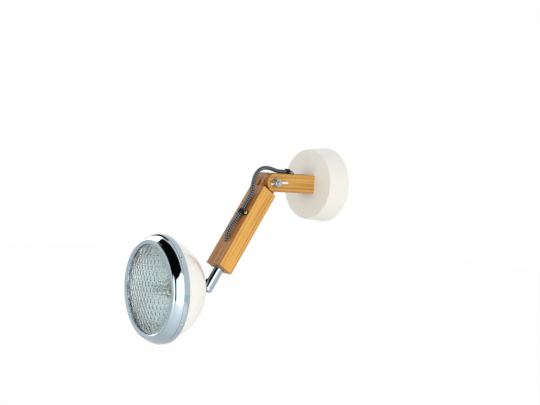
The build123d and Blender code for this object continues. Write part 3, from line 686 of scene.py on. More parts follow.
class WALLLAMP_OT_finishes(Operator):
    """Make the materials and give them to the frame's own nodes"""
    bl_idname = "wall_lamp.finishes"
    bl_label = "Finishes"
    bl_options = {"REGISTER", "UNDO"}

    def execute(self, context):
        tints = context.scene.lamp_colours
        stock = context.scene.hinge_sizes.stock_half_width
        handled_group()
        grain_group()
        finishes.update(
            # Painted light: the bowl's tint is the cover's cream made lighter
            gloss_enamel=handled("gloss_enamel", tints.bowl_cream_painted_light, 0.16, tone=0.03, spread=0.06, patch=25.0,
                                 grain=700.0, relief=0.003, Coat_Weight=0.35, Coat_Roughness=0.06),
            satin_enamel=handled("satin_enamel", tints.cream, 0.38, tone=0.03, spread=0.08, patch=25.0,
                                 grain=1300.0, relief=0.006),
            zinc=handled("zinc", tints.zinc, 0.34, tone=0.16, spread=0.18, patch=260.0, grain=2600.0,
                         relief=0.006, Metallic=1.0),
            brass=handled("brass", tints.brass, 0.24, tone=0.14, spread=0.14, patch=300.0, grain=2600.0,
                          relief=0.005, Metallic=1.0),
            black_paint=handled("black_paint", tints.black_paint, 0.36, tone=0.3, spread=0.14, patch=180.0,
                                grain=2400.0, relief=0.01, Specular_IOR_Level=0.12),
            rubber=handled("rubber", tints.rubber, 0.62, tone=0.3, spread=0.15, patch=120.0, grain=1800.0,
                           relief=0.012),
            ceramic=handled("ceramic", tints.ceramic, 0.55, tone=0.08, spread=0.12, patch=140.0, grain=1600.0,
                            relief=0.02),
            plastic=handled("plastic", tints.plastic, 0.45, tone=0.05, spread=0.1, grain=1500.0, relief=0.01),
            insulation=handled("insulation", tints.insulation, 0.4, tone=0.1, spread=0.1, grain=1500.0,
                               relief=0.006),
            chrome=plated("chrome", tints.chrome, low=0.02, high=0.05),
            bright_aluminium=plated("bright_aluminium", tints.aluminium, low=0.27, high=0.37),
            lens_glass=clear_glass("pressed_glass", tints.glass, roughness=0.0, transmission=1.0),
            ground_edge=handled("ground_glass", tints.ground, 0.7, tone=0.1, grain=2200.0, relief=0.02),
            frosted_glass=clear_glass("frosted_glass", tints.bulb, roughness=0.5, transmission=0.2),
            short_arm_wood=wood("short_arm_wood", turn(-QUARTER, "X"), tints, stock, depth=0.84),
            long_arm_wood=wood("long_arm_wood", arm_place.inverted(), tints, stock, depth=1.0),
            strand_black=strand("black_strand", tints.strand_black),
            strand_grey=strand("grey_strand", tints.strand_grey),
        )
        for finish_name, names in DRESSED_NODES.items():
            for name in names:
                for material_slot in frame["nodes"][name].material_slots:
                    material_slot.material = finishes[finish_name]
        return {"FINISHED"}


# Cable

def from_hinge(x, out, up):
    """Point beside the hinge axis in millimetres: sideways, away from the wall and up."""
    return hinge_point + Vector((x, -out, up)) * MM


def on_arm(x, front, along):
    """Point in the long arm's own directions in millimetres, from the hinge axis."""
    return hinge_point + (Vector((x, 0.0, 0.0)) + arm_front * front + arm_along * along) * MM


CABLE_ROUTE = [
    from_hinge(0.0, -76.0, 0.0),
    from_hinge(0.0, -49.8, 0.0),
    from_hinge(0.0, -41.0, 15.3),
    from_hinge(0.0, -29.0, 15.3),
    from_hinge(0.0, -14.0, 15.3),
    from_hinge(0.0, -1.0, 19.2),
    from_hinge(0.0, 13.5, 18.9),
    from_hinge(0.3, 24.0, 9.4),
    from_hinge(0.8, 27.4, -5.0),
    on_arm(2.4, 15.9, 29.5),
    on_arm(0.6, 15.3, 42.0),
    on_arm(0.6, 15.3, 52.0),
    on_arm(0.6, 15.3, 66.0),
    on_arm(-0.9, 16.8, 81.0),
    on_arm(-0.4, 16.4, 96.5),
    on_arm(0.0, 0.0, 115.0),
    on_arm(0.0, 0.0, 130.0),
]


def spline_points(route):
    """Points along the smooth line through the route, read from its NURBS spline."""
    curve = bpy.data.curves.new("cable_route", "CURVE")
    curve.dimensions = "3D"
    curve.resolution_u = 48
    spline = curve.splines.new("NURBS")
    spline.points.add(len(route) - 1)
    for point, place in zip(spline.points, route):
        point.co = (*place, 1.0)
    spline.order_u = 3
    spline.use_endpoint_u = True
    holder = bpy.data.objects.new("cable_route", curve)
    mesh = bpy.data.meshes.new_from_object(holder)
    points = [vertex.co.copy() for vertex in mesh.vertices]
    bpy.data.meshes.remove(mesh)
    bpy.data.objects.remove(holder)
    bpy.data.curves.remove(curve)
    return points


class CableLine:
    """Centreline with a frame that doesn't twist, to place points around the cable."""

    def __init__(self, points):
        self.points = points
        self.stations = [0.0]
        for before, after in zip(points, points[1:]):
            self.stations.append(self.stations[-1] + (after - before).length)
        self.length = self.stations[-1]
        self.sides = []
        side = Vector((1.0, 0.0, 0.0))
        for index in range(len(points)):
            way = (points[min(index + 1, len(points) - 1)] - points[max(index - 1, 0)]).normalized()
            side = (side - way * side.dot(way)).normalized()
            self.sides.append((side, way.cross(side)))
        self.index = 0

    def around(self, station, angle, radius):
        """Point at a station along the cable, an angle round it and a distance from its middle."""
        station = min(max(station, 0.0), self.length)
        while self.index > 0 and self.stations[self.index] > station:
            self.index -= 1
        while self.index < len(self.points) - 2 and self.stations[self.index + 1] < station:
            self.index += 1
        low = self.index
        share = (station - self.stations[low]) / (self.stations[low + 1] - self.stations[low])
        middle = self.points[low].lerp(self.points[low + 1], share)
        side = self.sides[low][0].lerp(self.sides[low + 1][0], share)
        other = self.sides[low][1].lerp(self.sides[low + 1][1], share)
        return middle + (side * math.cos(angle) + other * math.sin(angle)) * radius


class MeshLists:
    """Points, faces, materials and UV places of a mesh that grows loop by loop."""

    def __init__(self):
        self.points = []
        self.faces = []
        self.materials = []
        self.places = []

    def tube(self, loops, material):
        """Closed tube through loops of points."""
        base = len(self.points)
        count = len(loops[0])
        self.points.extend(point for loop in loops for point in loop)
        for row in range(len(loops) - 1):
            for column in range(count):
                after = (column + 1) % count
                corners = [base + row * count + column, base + row * count + after,
                           base + (row + 1) * count + after, base + (row + 1) * count + column]
                spots = [(column / count, row), ((column + 1) / count, row),
                         ((column + 1) / count, row + 1), (column / count, row + 1)]
                self.face(corners, spots, material)
        last = base + (len(loops) - 1) * count
        ends = [(0.5, 0.0)] * count
        self.face([base + column for column in range(count)][::-1], ends, material)
        self.face([last + column for column in range(count)], ends, material)

    def face(self, corners, spots, material):
        """One face with its UV places."""
        self.faces.append(corners)
        self.places.extend(spots)
        self.materials.append(material)

    def build(self, name, materials):
        """The finished piece."""
        mesh = bpy.data.meshes.new(name)
        mesh.from_pydata(self.points, [], self.faces)
        layer = mesh.uv_layers.new(name="strand")
        layer.data.foreach_set("uv", [value for place in self.places for value in place])
        mesh.polygons.foreach_set("material_index", self.materials)
        for material in materials:
            mesh.materials.append(material)
        mesh.update()
        piece = bpy.data.objects.new(name, mesh)
        bpy.context.scene.collection.objects.link(piece)
        return piece


SAMPLES_PER_CROSSING = 4
CORE_STEPS = 18
STRAND_SINK = 0.02 * MM
BLACK, GREY = 0, 1
STRAND_SECTION = ((-1.0, 0.0), (-0.62, 0.72), (0.0, 1.0), (0.62, 0.72), (1.0, 0.0), (0.0, -0.55))


class WALLLAMP_OT_cable(Operator):
    """Model the braided cable from the cover, over the hinge, into the long arm"""
    bl_idname = "wall_lamp.cable"
    bl_label = "Cable"
    bl_options = {"REGISTER", "UNDO"}

    def execute(self, context):
        sizes = context.scene.cable_sizes
        points = spline_points(CABLE_ROUTE)
        line = CableLine(points)
        lists = MeshLists()
        strands = sizes.strands
        rate = 1.0 / sizes.strand_radius
        crossing = math.pi / (strands * rate)
        samples = int(line.length / crossing * SAMPLES_PER_CROSSING)
        core_rows = samples // 2
        angles = [math.tau * step / CORE_STEPS for step in range(CORE_STEPS)]
        loops = []
        for row in range(core_rows + 1):
            station = line.length * row / core_rows
            loops.append([line.around(station, angle, sizes.core_radius) for angle in angles])
        lists.tube(loops, BLACK)
        half = sizes.strand_width / 2
        diagonal = math.sqrt(0.5)
        for hand, material in ((1, GREY), (-1, BLACK)):
            for number in range(strands):
                loops = []
                for row in range(samples + 1):
                    station = line.length * row / samples
                    angle = math.tau * number / strands + hand * rate * station
                    middle = sizes.strand_radius + hand * sizes.strand_wave * math.cos(strands * angle)
                    loop = []
                    for across, rise in STRAND_SECTION:
                        aside = across * half * diagonal
                        loop.append(line.around(
                            station - hand * aside,
                            angle + aside / sizes.strand_radius,
                            middle + rise * sizes.strand_rise - STRAND_SINK,
                        ))
                    loops.append(loop)
                lists.tube(loops, material)
        cable = lists.build("braided_cable", (finishes["strand_black"], finishes["strand_grey"]))
        weld(cable)
        smooth(cable, degrees=60.0)
        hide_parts("cable_inlet", "cable_loop", "cable_outlet")
        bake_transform(cable)
        return {"FINISHED"}


# Clips, screws, bolt and wing nut

# The flat of a screw's tip as a share of its radius, each clip screw's side and turn, and the steps of a
# clip's half-round foot, of the part of it that is free, of the bend after it and of the arch
SCREW_TIP = 0.3
CLIP_SCREWS = ((-1, -0.2), (1, 0.8))
FOOT_STEPS, FREE_FOOT_STEPS = 16, 12
BEND_ANGLES = (0.0, 0.4, 0.8, 1.2, QUARTER)
ARCH_STEPS = 18
WING_TURN = math.radians(6.0)


def domed_screw(name, head_radius, head_height, shank_radius, shank_length):
    """Round-headed screw that stands on Z = 0."""
    profile = [(0.0, -shank_length), (shank_radius * SCREW_TIP, -shank_length),
               (shank_radius, shank_radius - shank_length), (shank_radius, 0.0)]
    return turned(name, profile + cap(head_radius, head_height, steps=10), steps=40)


def cut_box(piece, width, length, depth, top):
    """Cuts a straight recess into the top of a screw."""
    clear_selection()
    bpy.ops.mesh.primitive_cube_add(size=1.0, location=(0.0, 0.0, top), scale=(length, width, 2 * depth))
    cutter = bpy.context.object
    modify(piece, "BOOLEAN", operation="DIFFERENCE", solver="EXACT", object=cutter)
    bpy.data.objects.remove(cutter)


class WALLLAMP_OT_clips(Operator):
    """Model the two saddle clips and their four screws"""
    bl_idname = "wall_lamp.clips"
    bl_label = "Saddle clips"
    bl_options = {"REGISTER", "UNDO"}

    def execute(self, context):
        sizes = context.scene.clip_sizes
        for name, place, body in (("upper_clip", upper_clip_place, "wall_mount"),
                                  ("lower_clip", lower_clip_place, "arm")):
            clip = self.strip(sizes, name + "_strip")
            finish(settle(clip, place), finishes["black_paint"], "black_clip", body, name)
            places = [place @ shift(side * sizes.screw_x, 0.0, sizes.thickness) @ turn(angle, "Z")
                      for side, angle in CLIP_SCREWS]
            screws = join(name + "_round_screws", copy_to(self.screw(sizes), places))
            finish(screws, finishes["brass"], "brass", body, name + "_screws")
        return {"FINISHED"}

    def strip(self, sizes, name):
        """Bent strip: an edge drawn along the profile, given its thickness, with rounded feet and edges."""
        middle = sizes.thickness / 2
        arch = sizes.tunnel + middle
        bend = sizes.bend
        half = sizes.width / 2
        foot = []
        for step in range(1, FREE_FOOT_STEPS + 1):
            angle = math.pi * step / FOOT_STEPS
            wide = sizes.foot_radius * math.sin(angle)
            foot.append((-sizes.screw_x - sizes.foot_radius * math.cos(angle), middle, wide))
        foot += [(-arch - bend + bend * math.sin(a), middle + bend - bend * math.cos(a), half)
                 for a in BEND_ANGLES]
        top = [(-arch * math.cos(a), sizes.tunnel + arch * math.sin(a), half)
               for a in [math.pi * step / ARCH_STEPS for step in range(ARCH_STEPS + 1)]]
        profile = foot + top + [(-x, z, wide) for x, z, wide in foot[::-1]]
        clear_selection()
        x, z, wide = profile[0]
        bpy.ops.mesh.primitive_plane_add(size=2 * wide)
        clip = call_active(name)
        edit(clip)
        bpy.ops.transform.resize(value=(0.0, 1.0, 1.0), center_override=(0.0, 0.0, 0.0))
        bpy.ops.mesh.remove_doubles(threshold=DRAWN_GAP)
        bpy.ops.mesh.select_all(action="SELECT")
        bpy.ops.transform.translate(value=(x, 0.0, z))
        for next_x, next_z, next_wide in profile[1:]:
            draw_edges(next_x - x, next_z - z)
            bpy.ops.transform.resize(value=(1.0, next_wide / wide, 1.0), center_override=(0.0, 0.0, 0.0))
            x, z, wide = next_x, next_z, next_wide
        weld(clip, DRAWN_GAP)
        modify(clip, "SOLIDIFY", thickness=sizes.thickness, offset=0.0)
        weld(clip)
        round_edges(clip, width=0.22 * MM, segments=2, degrees=40.0)
        smooth(clip, degrees=35.0)
        return clip

    def screw(self, sizes):
        """Round-headed screw with a cross recess."""
        screw = domed_screw("round_screw", sizes.head_radius, sizes.head_height, sizes.shank_radius,
                            sizes.shank_length)
        arms = (sizes.recess_width, sizes.recess_length)
        for width, length in (arms, arms[::-1]):
            cut_box(screw, width, length, sizes.recess_depth, sizes.head_height)
        smooth(screw, degrees=32.0)
        return screw


class WALLLAMP_OT_hinge(Operator):
    """Model the hinge bolt and the wing nut"""
    bl_idname = "wall_lamp.hinge"
    bl_label = "Bolt and wing nut"
    bl_options = {"REGISTER", "UNDO"}

    def execute(self, context):
        sizes = context.scene.hinge_sizes
        bolt = settle(self.bolt(sizes), hinge_place)
        finish(bolt, finishes["zinc"], "zinc_steel", "wall_mount", "hinge_bolt")
        nut = settle(self.nut(sizes), hinge_place @ shift(z=sizes.nut_seat) @ turn(WING_TURN, "Z"))
        finish(nut, finishes["zinc"], "zinc_steel", "wing_nut", "wing_nut")
        return {"FINISHED"}

    def bolt(self, sizes):
        """Round head, shank and a threaded end."""
        back = -sizes.stock_half_width
        head = cap(sizes.bolt_head_radius, sizes.bolt_head_height, steps=12)
        profile = [(radius, back - height) for radius, height in reversed(head)]
        profile += [(sizes.bolt_radius, back)]
        z = sizes.bolt_end - sizes.thread_length
        root = sizes.bolt_radius - sizes.thread_depth
        while z + sizes.thread_pitch < sizes.bolt_end:
            profile += [(sizes.bolt_radius, z), (root, z + sizes.thread_pitch / 2)]
            z += sizes.thread_pitch
        taper = sizes.thread_taper
        profile += [(sizes.bolt_radius - taper, z), (root - 2 * taper, sizes.bolt_end), (0.0, sizes.bolt_end)]
        bolt = turned("hinge_bolt_threaded", profile, steps=64)
        round_edges(bolt, width=0.12 * MM, segments=2, degrees=50.0)
        smooth(bolt, degrees=32.0)
        return bolt

    def nut(self, sizes):
        """Boss and two wings, fused and rounded like a casting."""
        boss = turned("wing_nut_cast", [
            (sizes.bolt_radius, 0.0),
            (sizes.nut_base_radius, 0.0),
            (sizes.nut_base_radius, sizes.nut_base_height),
            (sizes.nut_top_radius, sizes.nut_height),
            (sizes.bolt_radius, sizes.nut_height),
            (sizes.bolt_radius, 0.0),
        ], steps=48)
        wings = copy_to(self.wing(sizes), [Matrix.Identity(4), turn(math.pi, "Z")])
        for wing in wings:
            modify(boss, "BOOLEAN", operation="UNION", solver="EXACT", object=wing)
            bpy.data.objects.remove(wing)
        modify(boss, "REMESH", mode="VOXEL", voxel_size=sizes.cast_grain)
        modify(boss, "SMOOTH", factor=0.5, iterations=5)
        take(boss)
        bpy.ops.object.shade_smooth()
        return boss

    def wing(self, sizes):
        """Flat wing: a disc whose inner half is drawn down to the root, then given its thickness."""
        clear_selection()
        tip_x = sizes.wing_reach - sizes.wing_tip_radius
        bpy.ops.mesh.primitive_circle_add(vertices=32, radius=sizes.wing_tip_radius, fill_type="NGON")
        wing = call_active("wing")
        way = Vector((sizes.wing_root_reach - tip_x, sizes.nut_height / 2 - sizes.wing_tip_height))
        shrink = sizes.wing_root_radius / sizes.wing_tip_radius
        for vertex in wing.data.vertices:
            flat = Vector((vertex.co.x, vertex.co.y))
            if flat.dot(way) > 0.0:
                flat = flat * shrink + way
            vertex.co.x, vertex.co.y = flat
        edit(wing)
        bpy.ops.transform.translate(value=(tip_x, sizes.wing_tip_height, -sizes.wing_thickness / 2))
        bpy.ops.mesh.extrude_region_move(TRANSFORM_OT_translate={"value": (0.0, 0.0, sizes.wing_thickness)})
        weld(wing)
        return settle(wing, turn(QUARTER, "X"))


# Head

# Each rim screw's angle round the rim and the turn of its slot, in degrees
RIM_SCREWS = ((-37.0, -37.0), (37.0, 37.0), (143.0, 23.0), (217.0, 97.0))

# The lens's pillows, the distance of their rows as a share of their pitch, the steps of its outer dome, and
# the slope at which a face of its edge counts as facing back
LENS_COLUMNS, LENS_ROWS = 23, 15
ROW_PITCH = math.sqrt(3.0) / 2
DOME_STEPS = 20
BACKWARD = -0.5


class WALLLAMP_OT_shell(Operator):
    """Model the bowl, the chrome rim and the rim's screws"""
    bl_idname = "wall_lamp.shell"
    bl_label = "Bowl and rim"
    bl_options = {"REGISTER", "UNDO"}

    def execute(self, context):
        sizes = context.scene.head_sizes
        bowl = settle(self.bowl(sizes), head_place)
        finish(bowl, finishes["gloss_enamel"], "cream_enamel", "head", "head_bowl")
        rim = settle(self.rim(sizes), head_place)
        finish(rim, finishes["chrome"], "chrome_plate", "head", "rim")
        screw = domed_screw("rim_screw", sizes.screw_radius, sizes.screw_height, sizes.screw_shank,
                            sizes.screw_length)
        past_head = 3 * sizes.screw_radius
        cut_box(screw, sizes.screw_slot, past_head, sizes.slot_depth, sizes.screw_height)
        smooth(screw, degrees=32.0)
        places = []
        for angle, slot_turn in RIM_SCREWS:
            place = head_place @ turn(math.radians(angle), "Z")
            place @= shift(sizes.band_radius, 0.0, sizes.band_back + sizes.screw_setback)
            places.append(place @ turn(QUARTER, "Y") @ turn(math.radians(slot_turn), "Z"))
        screws = join("rim_slotted_screws", copy_to(screw, places))
        finish(screws, finishes["chrome"], "chrome_plate", "head", "rim_screws")
        return {"FINISHED"}

    def bowl(self, sizes):
        """Thin ball-shaped shell with a flat seat at its back and a bead round its edge."""
        centre = sizes.bowl_back + math.sqrt(sizes.bowl_radius**2 - sizes.bowl_seat**2)
        inner_radius = sizes.bowl_radius - sizes.bowl_wall
        inner_back = centre - math.sqrt(inner_radius**2 - sizes.bowl_seat**2)
        bead_back = sizes.bowl_edge - sizes.bead_height
        bead_radius = sizes.bowl_radius + sizes.bead
        outer = ball_arc(sizes.bowl_radius, centre, sizes.bowl_back, bead_back, steps=40)
        inner = ball_arc(inner_radius, centre, inner_back, sizes.bowl_edge, steps=40)
        profile = outer + [(bead_radius, bead_back), (bead_radius, sizes.bowl_edge)] + inner[::-1]
        profile += [(sizes.bowl_hole, inner_back), (sizes.bowl_hole, sizes.bowl_back), outer[0]]
        bowl = turned("bowl_shell", profile, steps=160)
        round_edges(bowl, width=0.4 * MM, segments=3, degrees=25.0)
        smooth(bowl, degrees=30.0)
        return bowl

    def rim(self, sizes):
        """Sheet-metal ring: rear band, groove, convex body and rolled front bead."""
        inside = sizes.rim_inside
        groove_floor = sizes.band_radius - sizes.groove
        body_start = (sizes.rim_radius, sizes.body_back)
        lip_start = (sizes.lip_radius, sizes.lip_back)
        crest = (sizes.crest_radius, sizes.crest)
        lip_end = (sizes.aperture, sizes.lip_inside)
        profile = [(inside, sizes.band_back), (sizes.band_radius, sizes.band_back),
                   (sizes.band_radius, sizes.band_front), (groove_floor, sizes.band_front),
                   (groove_floor, sizes.body_back), body_start]
        profile += bowed(body_start, lip_start, sizes.body_bulge, steps=16)
        profile += bowed(lip_start, crest, level_bulge(crest, lip_start), steps=9)
        profile += bowed(crest, lip_end, level_bulge(crest, lip_end), steps=7)
        profile += [(sizes.aperture, sizes.gasket_front),
                    (sizes.lip_radius - sizes.rim_sheet, sizes.gasket_front),
                    (inside, sizes.body_back), (inside, sizes.band_back)]
        rim = turned("rim_ring", profile, steps=192)
        round_edges(rim, width=0.16 * MM, segments=3, degrees=28.0)
        smooth(rim, degrees=28.0)
        return rim


class WALLLAMP_OT_lens(Operator):
    """Model the pressed glass lens with its field of six-sided pillows"""
    bl_idname = "wall_lamp.lens"
    bl_label = "Lens"
    bl_options = {"REGISTER", "UNDO"}

    def execute(self, context):
        sizes = context.scene.head_sizes
        lens = self.pillow_field(sizes)
        self.close_glass(lens, sizes)
        finish(lens, finishes["lens_glass"], "lens_glass", "head", "lens")
        lens.data.materials.append(finishes["ground_edge"])
        for face in lens.data.polygons:
            if math.hypot(face.center.x, face.center.y) > sizes.lens_dome and face.normal.z > BACKWARD:
                face.material_index = 1
        settle(lens, head_place)
        return {"FINISHED"}

    def inner_height(self, sizes, radius):
        """Height of the plain inner dome."""
        rise = sizes.lens_front + sizes.lens_rise - sizes.lens_thickness - sizes.lens_back
        ball = ball_radius(sizes.lens_inside, rise)
        return sizes.lens_back + rise - ball + math.sqrt(ball**2 - radius**2)

    def outer_height(self, sizes, radius):
        """Height of the smooth outer dome."""
        rise = sizes.lens_rise - sizes.lens_shoulder
        ball = ball_radius(sizes.lens_dome, rise)
        return sizes.lens_front + sizes.lens_rise - ball + math.sqrt(ball**2 - radius**2)

    def pillow_field(self, sizes):
        """One pillow, repeated in staggered rows, cut to a round field and curved like the dome."""
        clear_selection()
        pitch = sizes.pillow_pitch
        corner = pitch / math.sqrt(3.0)
        bpy.ops.mesh.primitive_circle_add(vertices=6, radius=corner, fill_type="TRIFAN")
        lens = call_active("lens_pillowed")
        edit(lens)
        bpy.ops.mesh.subdivide(number_cuts=2)
        close_edit()
        for vertex in lens.data.vertices:
            share = (vertex.co.x**2 + vertex.co.y**2) / corner**2
            vertex.co.z = sizes.pillow_depth * (1.0 - share)
        across = Vector((pitch, 0.0, 0.0))
        up = Vector((pitch / 2, pitch * ROW_PITCH, 0.0))
        for count, way in ((LENS_COLUMNS, across), (LENS_ROWS, up)):
            modify(lens, "ARRAY", count=count, use_relative_offset=False, use_constant_offset=True,
                   constant_offset_displace=way)
        middle = across * ((LENS_COLUMNS - 1) // 2) + up * ((LENS_ROWS - 1) // 2)
        edit(lens, "FACE")
        bpy.ops.mesh.remove_doubles(threshold=DRAWN_GAP)
        bpy.ops.transform.translate(value=-middle)
        bpy.ops.mesh.select_all(action="DESELECT")
        close_edit()
        limit = sizes.lens_inside - sizes.pillow_border - pitch / 2
        for face in lens.data.polygons:
            face.select = self.cell_distance(face.center, pitch) > limit
        bpy.ops.object.mode_set(mode="EDIT")
        bpy.ops.mesh.delete(type="FACE")
        close_edit()
        for vertex in lens.data.vertices:
            vertex.co.z += self.inner_height(sizes, math.hypot(vertex.co.x, vertex.co.y))
        return lens

    def cell_distance(self, place, pitch):
        """Distance from the middle of the lens to the middle of the pillow at a place."""
        row_pitch = pitch * ROW_PITCH
        nearest = None
        for row in range(round(place.y / row_pitch) - 1, round(place.y / row_pitch) + 2):
            offset = pitch / 2 if row % 2 else 0.0
            x = round((place.x - offset) / pitch) * pitch + offset
            gap = math.hypot(place.x - x, place.y - row * row_pitch)
            if nearest is None or gap < nearest[0]:
                nearest = (gap, math.hypot(x, row * row_pitch))
        return nearest[1]

    def close_glass(self, lens, sizes):
        """Plain border, flat edge and smooth outer dome, drawn out of the field's own border."""
        edit(lens, "EDGE")
        bpy.ops.mesh.select_all(action="DESELECT")
        bpy.ops.mesh.select_non_manifold(extend=False, use_wire=False, use_boundary=True,
                                         use_multi_face=False, use_non_contiguous=False, use_verts=False)
        draw_edges(0.0, 0.0)
        close_edit()
        radius = sizes.lens_inside
        for vertex in lens.data.vertices:
            if vertex.select:
                stretch = radius / math.hypot(vertex.co.x, vertex.co.y)
                vertex.co = (vertex.co.x * stretch, vertex.co.y * stretch, sizes.lens_back)
        bpy.ops.object.mode_set(mode="EDIT")
        bpy.ops.mesh.remove_doubles(threshold=BORDER_GAP, use_unselected=False)
        height = sizes.lens_back
        rings = [(sizes.lens_edge, sizes.lens_back), (sizes.lens_edge, sizes.lens_front),
                 (sizes.lens_dome, sizes.lens_front),
                 (sizes.lens_dome, sizes.lens_front + sizes.lens_shoulder - sizes.shoulder_edge)]
        for step in range(1, DOME_STEPS):
            ring = sizes.lens_dome * math.cos(QUARTER * step / DOME_STEPS)
            rings.append((ring, self.outer_height(sizes, ring)))
        for ring, next_height in rings:
            draw_edges(0.0, next_height - height)
            share = ring / radius
            bpy.ops.transform.resize(value=(share, share, 1.0), center_override=(0.0, 0.0, next_height))
            radius, height = ring, next_height
        draw_edges(0.0, self.outer_height(sizes, 0.0) - height)
        bpy.ops.mesh.merge(type="CENTER")
        bpy.ops.mesh.select_all(action="SELECT")
        bpy.ops.mesh.normals_make_consistent(inside=False)
        close_edit()
        smooth(lens, degrees=16.0)


# Stage

CAMERA_PLACE = (1.66655, -1.48845, 0.06936)
CAMERA_AZIMUTH = math.radians(50.118)
CAMERA_ELEVATION = math.radians(2.562)
CAMERA_ROLL = math.radians(4.427)
SENSOR_WIDTH = 36.0

# Each light's name, setting for its power, width and height, azimuth, elevation and distance from the head,
# and the rays that pass it by. Bright metal shows the panel in place of the key light. The panel stands a
# little nearer, because a light that lies in the plane of a hidden one isn't shown.
LIGHTS = (
    ("key_light", "key_power", (3.0, 3.3), (68.5, 6.0, 2.8), ("glossy",)),
    ("key_panel", "panel_power", (3.0, 3.3), (68.5, 6.0, 2.78), ("diffuse",)),
    ("side_light", "side_power", (1.15, 2.1), (-93.0, 27.0, 2.5), ()),
    ("low_light", "low_power", (1.7, 1.1), (70.0, -43.3, 1.6), ("glossy",)),
)

FLOOR_SIZE = 30.0
FLOOR_WHITE = 0.97
# A pool of light painted into the floor where bright metal shows it: its middle, its reach, and its gain in
# the middle and far away
PAINTED_POOL_MIDDLE = (2.7, -1.25, 0.0)
PAINTED_POOL_REACH = 3.2
PAINTED_POOL_GAIN, PAINTED_POOL_FAR_GAIN = 1.0, -0.15

# The level cards' corners from the head's middle, and the upright cards' left, right, lower and upper angles
CARD_ABOVE = ((-0.72, 0.12), (1.09, -0.16), (1.58, -1.02), (1.77, -2.1), (0.1, -2.1), (0.12, -1.04),
              (0.0, -0.82), (-0.45, -0.82), (-1.1, -1.1))
CARD_AHEAD = ((-1.0, -1.05), (-0.45, -0.83), (-0.01, -0.83), (0.11, -1.03), (0.1, -1.6), (-1.0, -1.6))
CARD_HEIGHT = 1.0
CARD_BESIDE = (29.5, 37.5, -17.0, 46.0)
CARD_BEHIND = (-121.0, -108.5, 20.0, 62.0)
CARD_DISTANCE = 2.2
BLACK_CARD, GREY_CARD = 0.004, 0.34


def from_head(azimuth, elevation, distance):
    """Point at a distance from the head's middle, in a direction given in degrees as for the camera."""
    angle, rise = math.radians(azimuth), math.radians(elevation)
    way = Vector((math.sin(angle) * math.cos(rise), -math.cos(angle) * math.cos(rise), math.sin(rise)))
    return head_middle + way * distance


def head_light(name, power, width, height, place):
    """Soft rectangular light that faces the head and isn't seen itself."""
    lamp = bpy.data.lights.new(name, "AREA")
    lamp.shape = "RECTANGLE"
    lamp.size, lamp.size_y = width, height
    lamp.energy = power
    light = bpy.data.objects.new(name, lamp)
    light.location = place
    light.rotation_euler = (place - head_middle).to_track_quat("Z", "Y").to_euler()
    light.visible_camera = False
    bpy.context.scene.collection.objects.link(light)
    return light


def hide_from(piece, rays):
    """Takes a piece out of the sight of these kinds of rays."""
    for ray in rays:
        setattr(piece, "visible_" + ray, False)


def seen_directly(tree):
    """Factor that is 1 for what the camera sees straight, in metal or through glass."""
    path = node(tree, "ShaderNodeLightPath")
    sharp = maths(tree, "MAXIMUM", path.outputs["Is Glossy Ray"], path.outputs["Is Transmission Ray"])
    return maths(tree, "MAXIMUM", path.outputs["Is Camera Ray"], sharp)


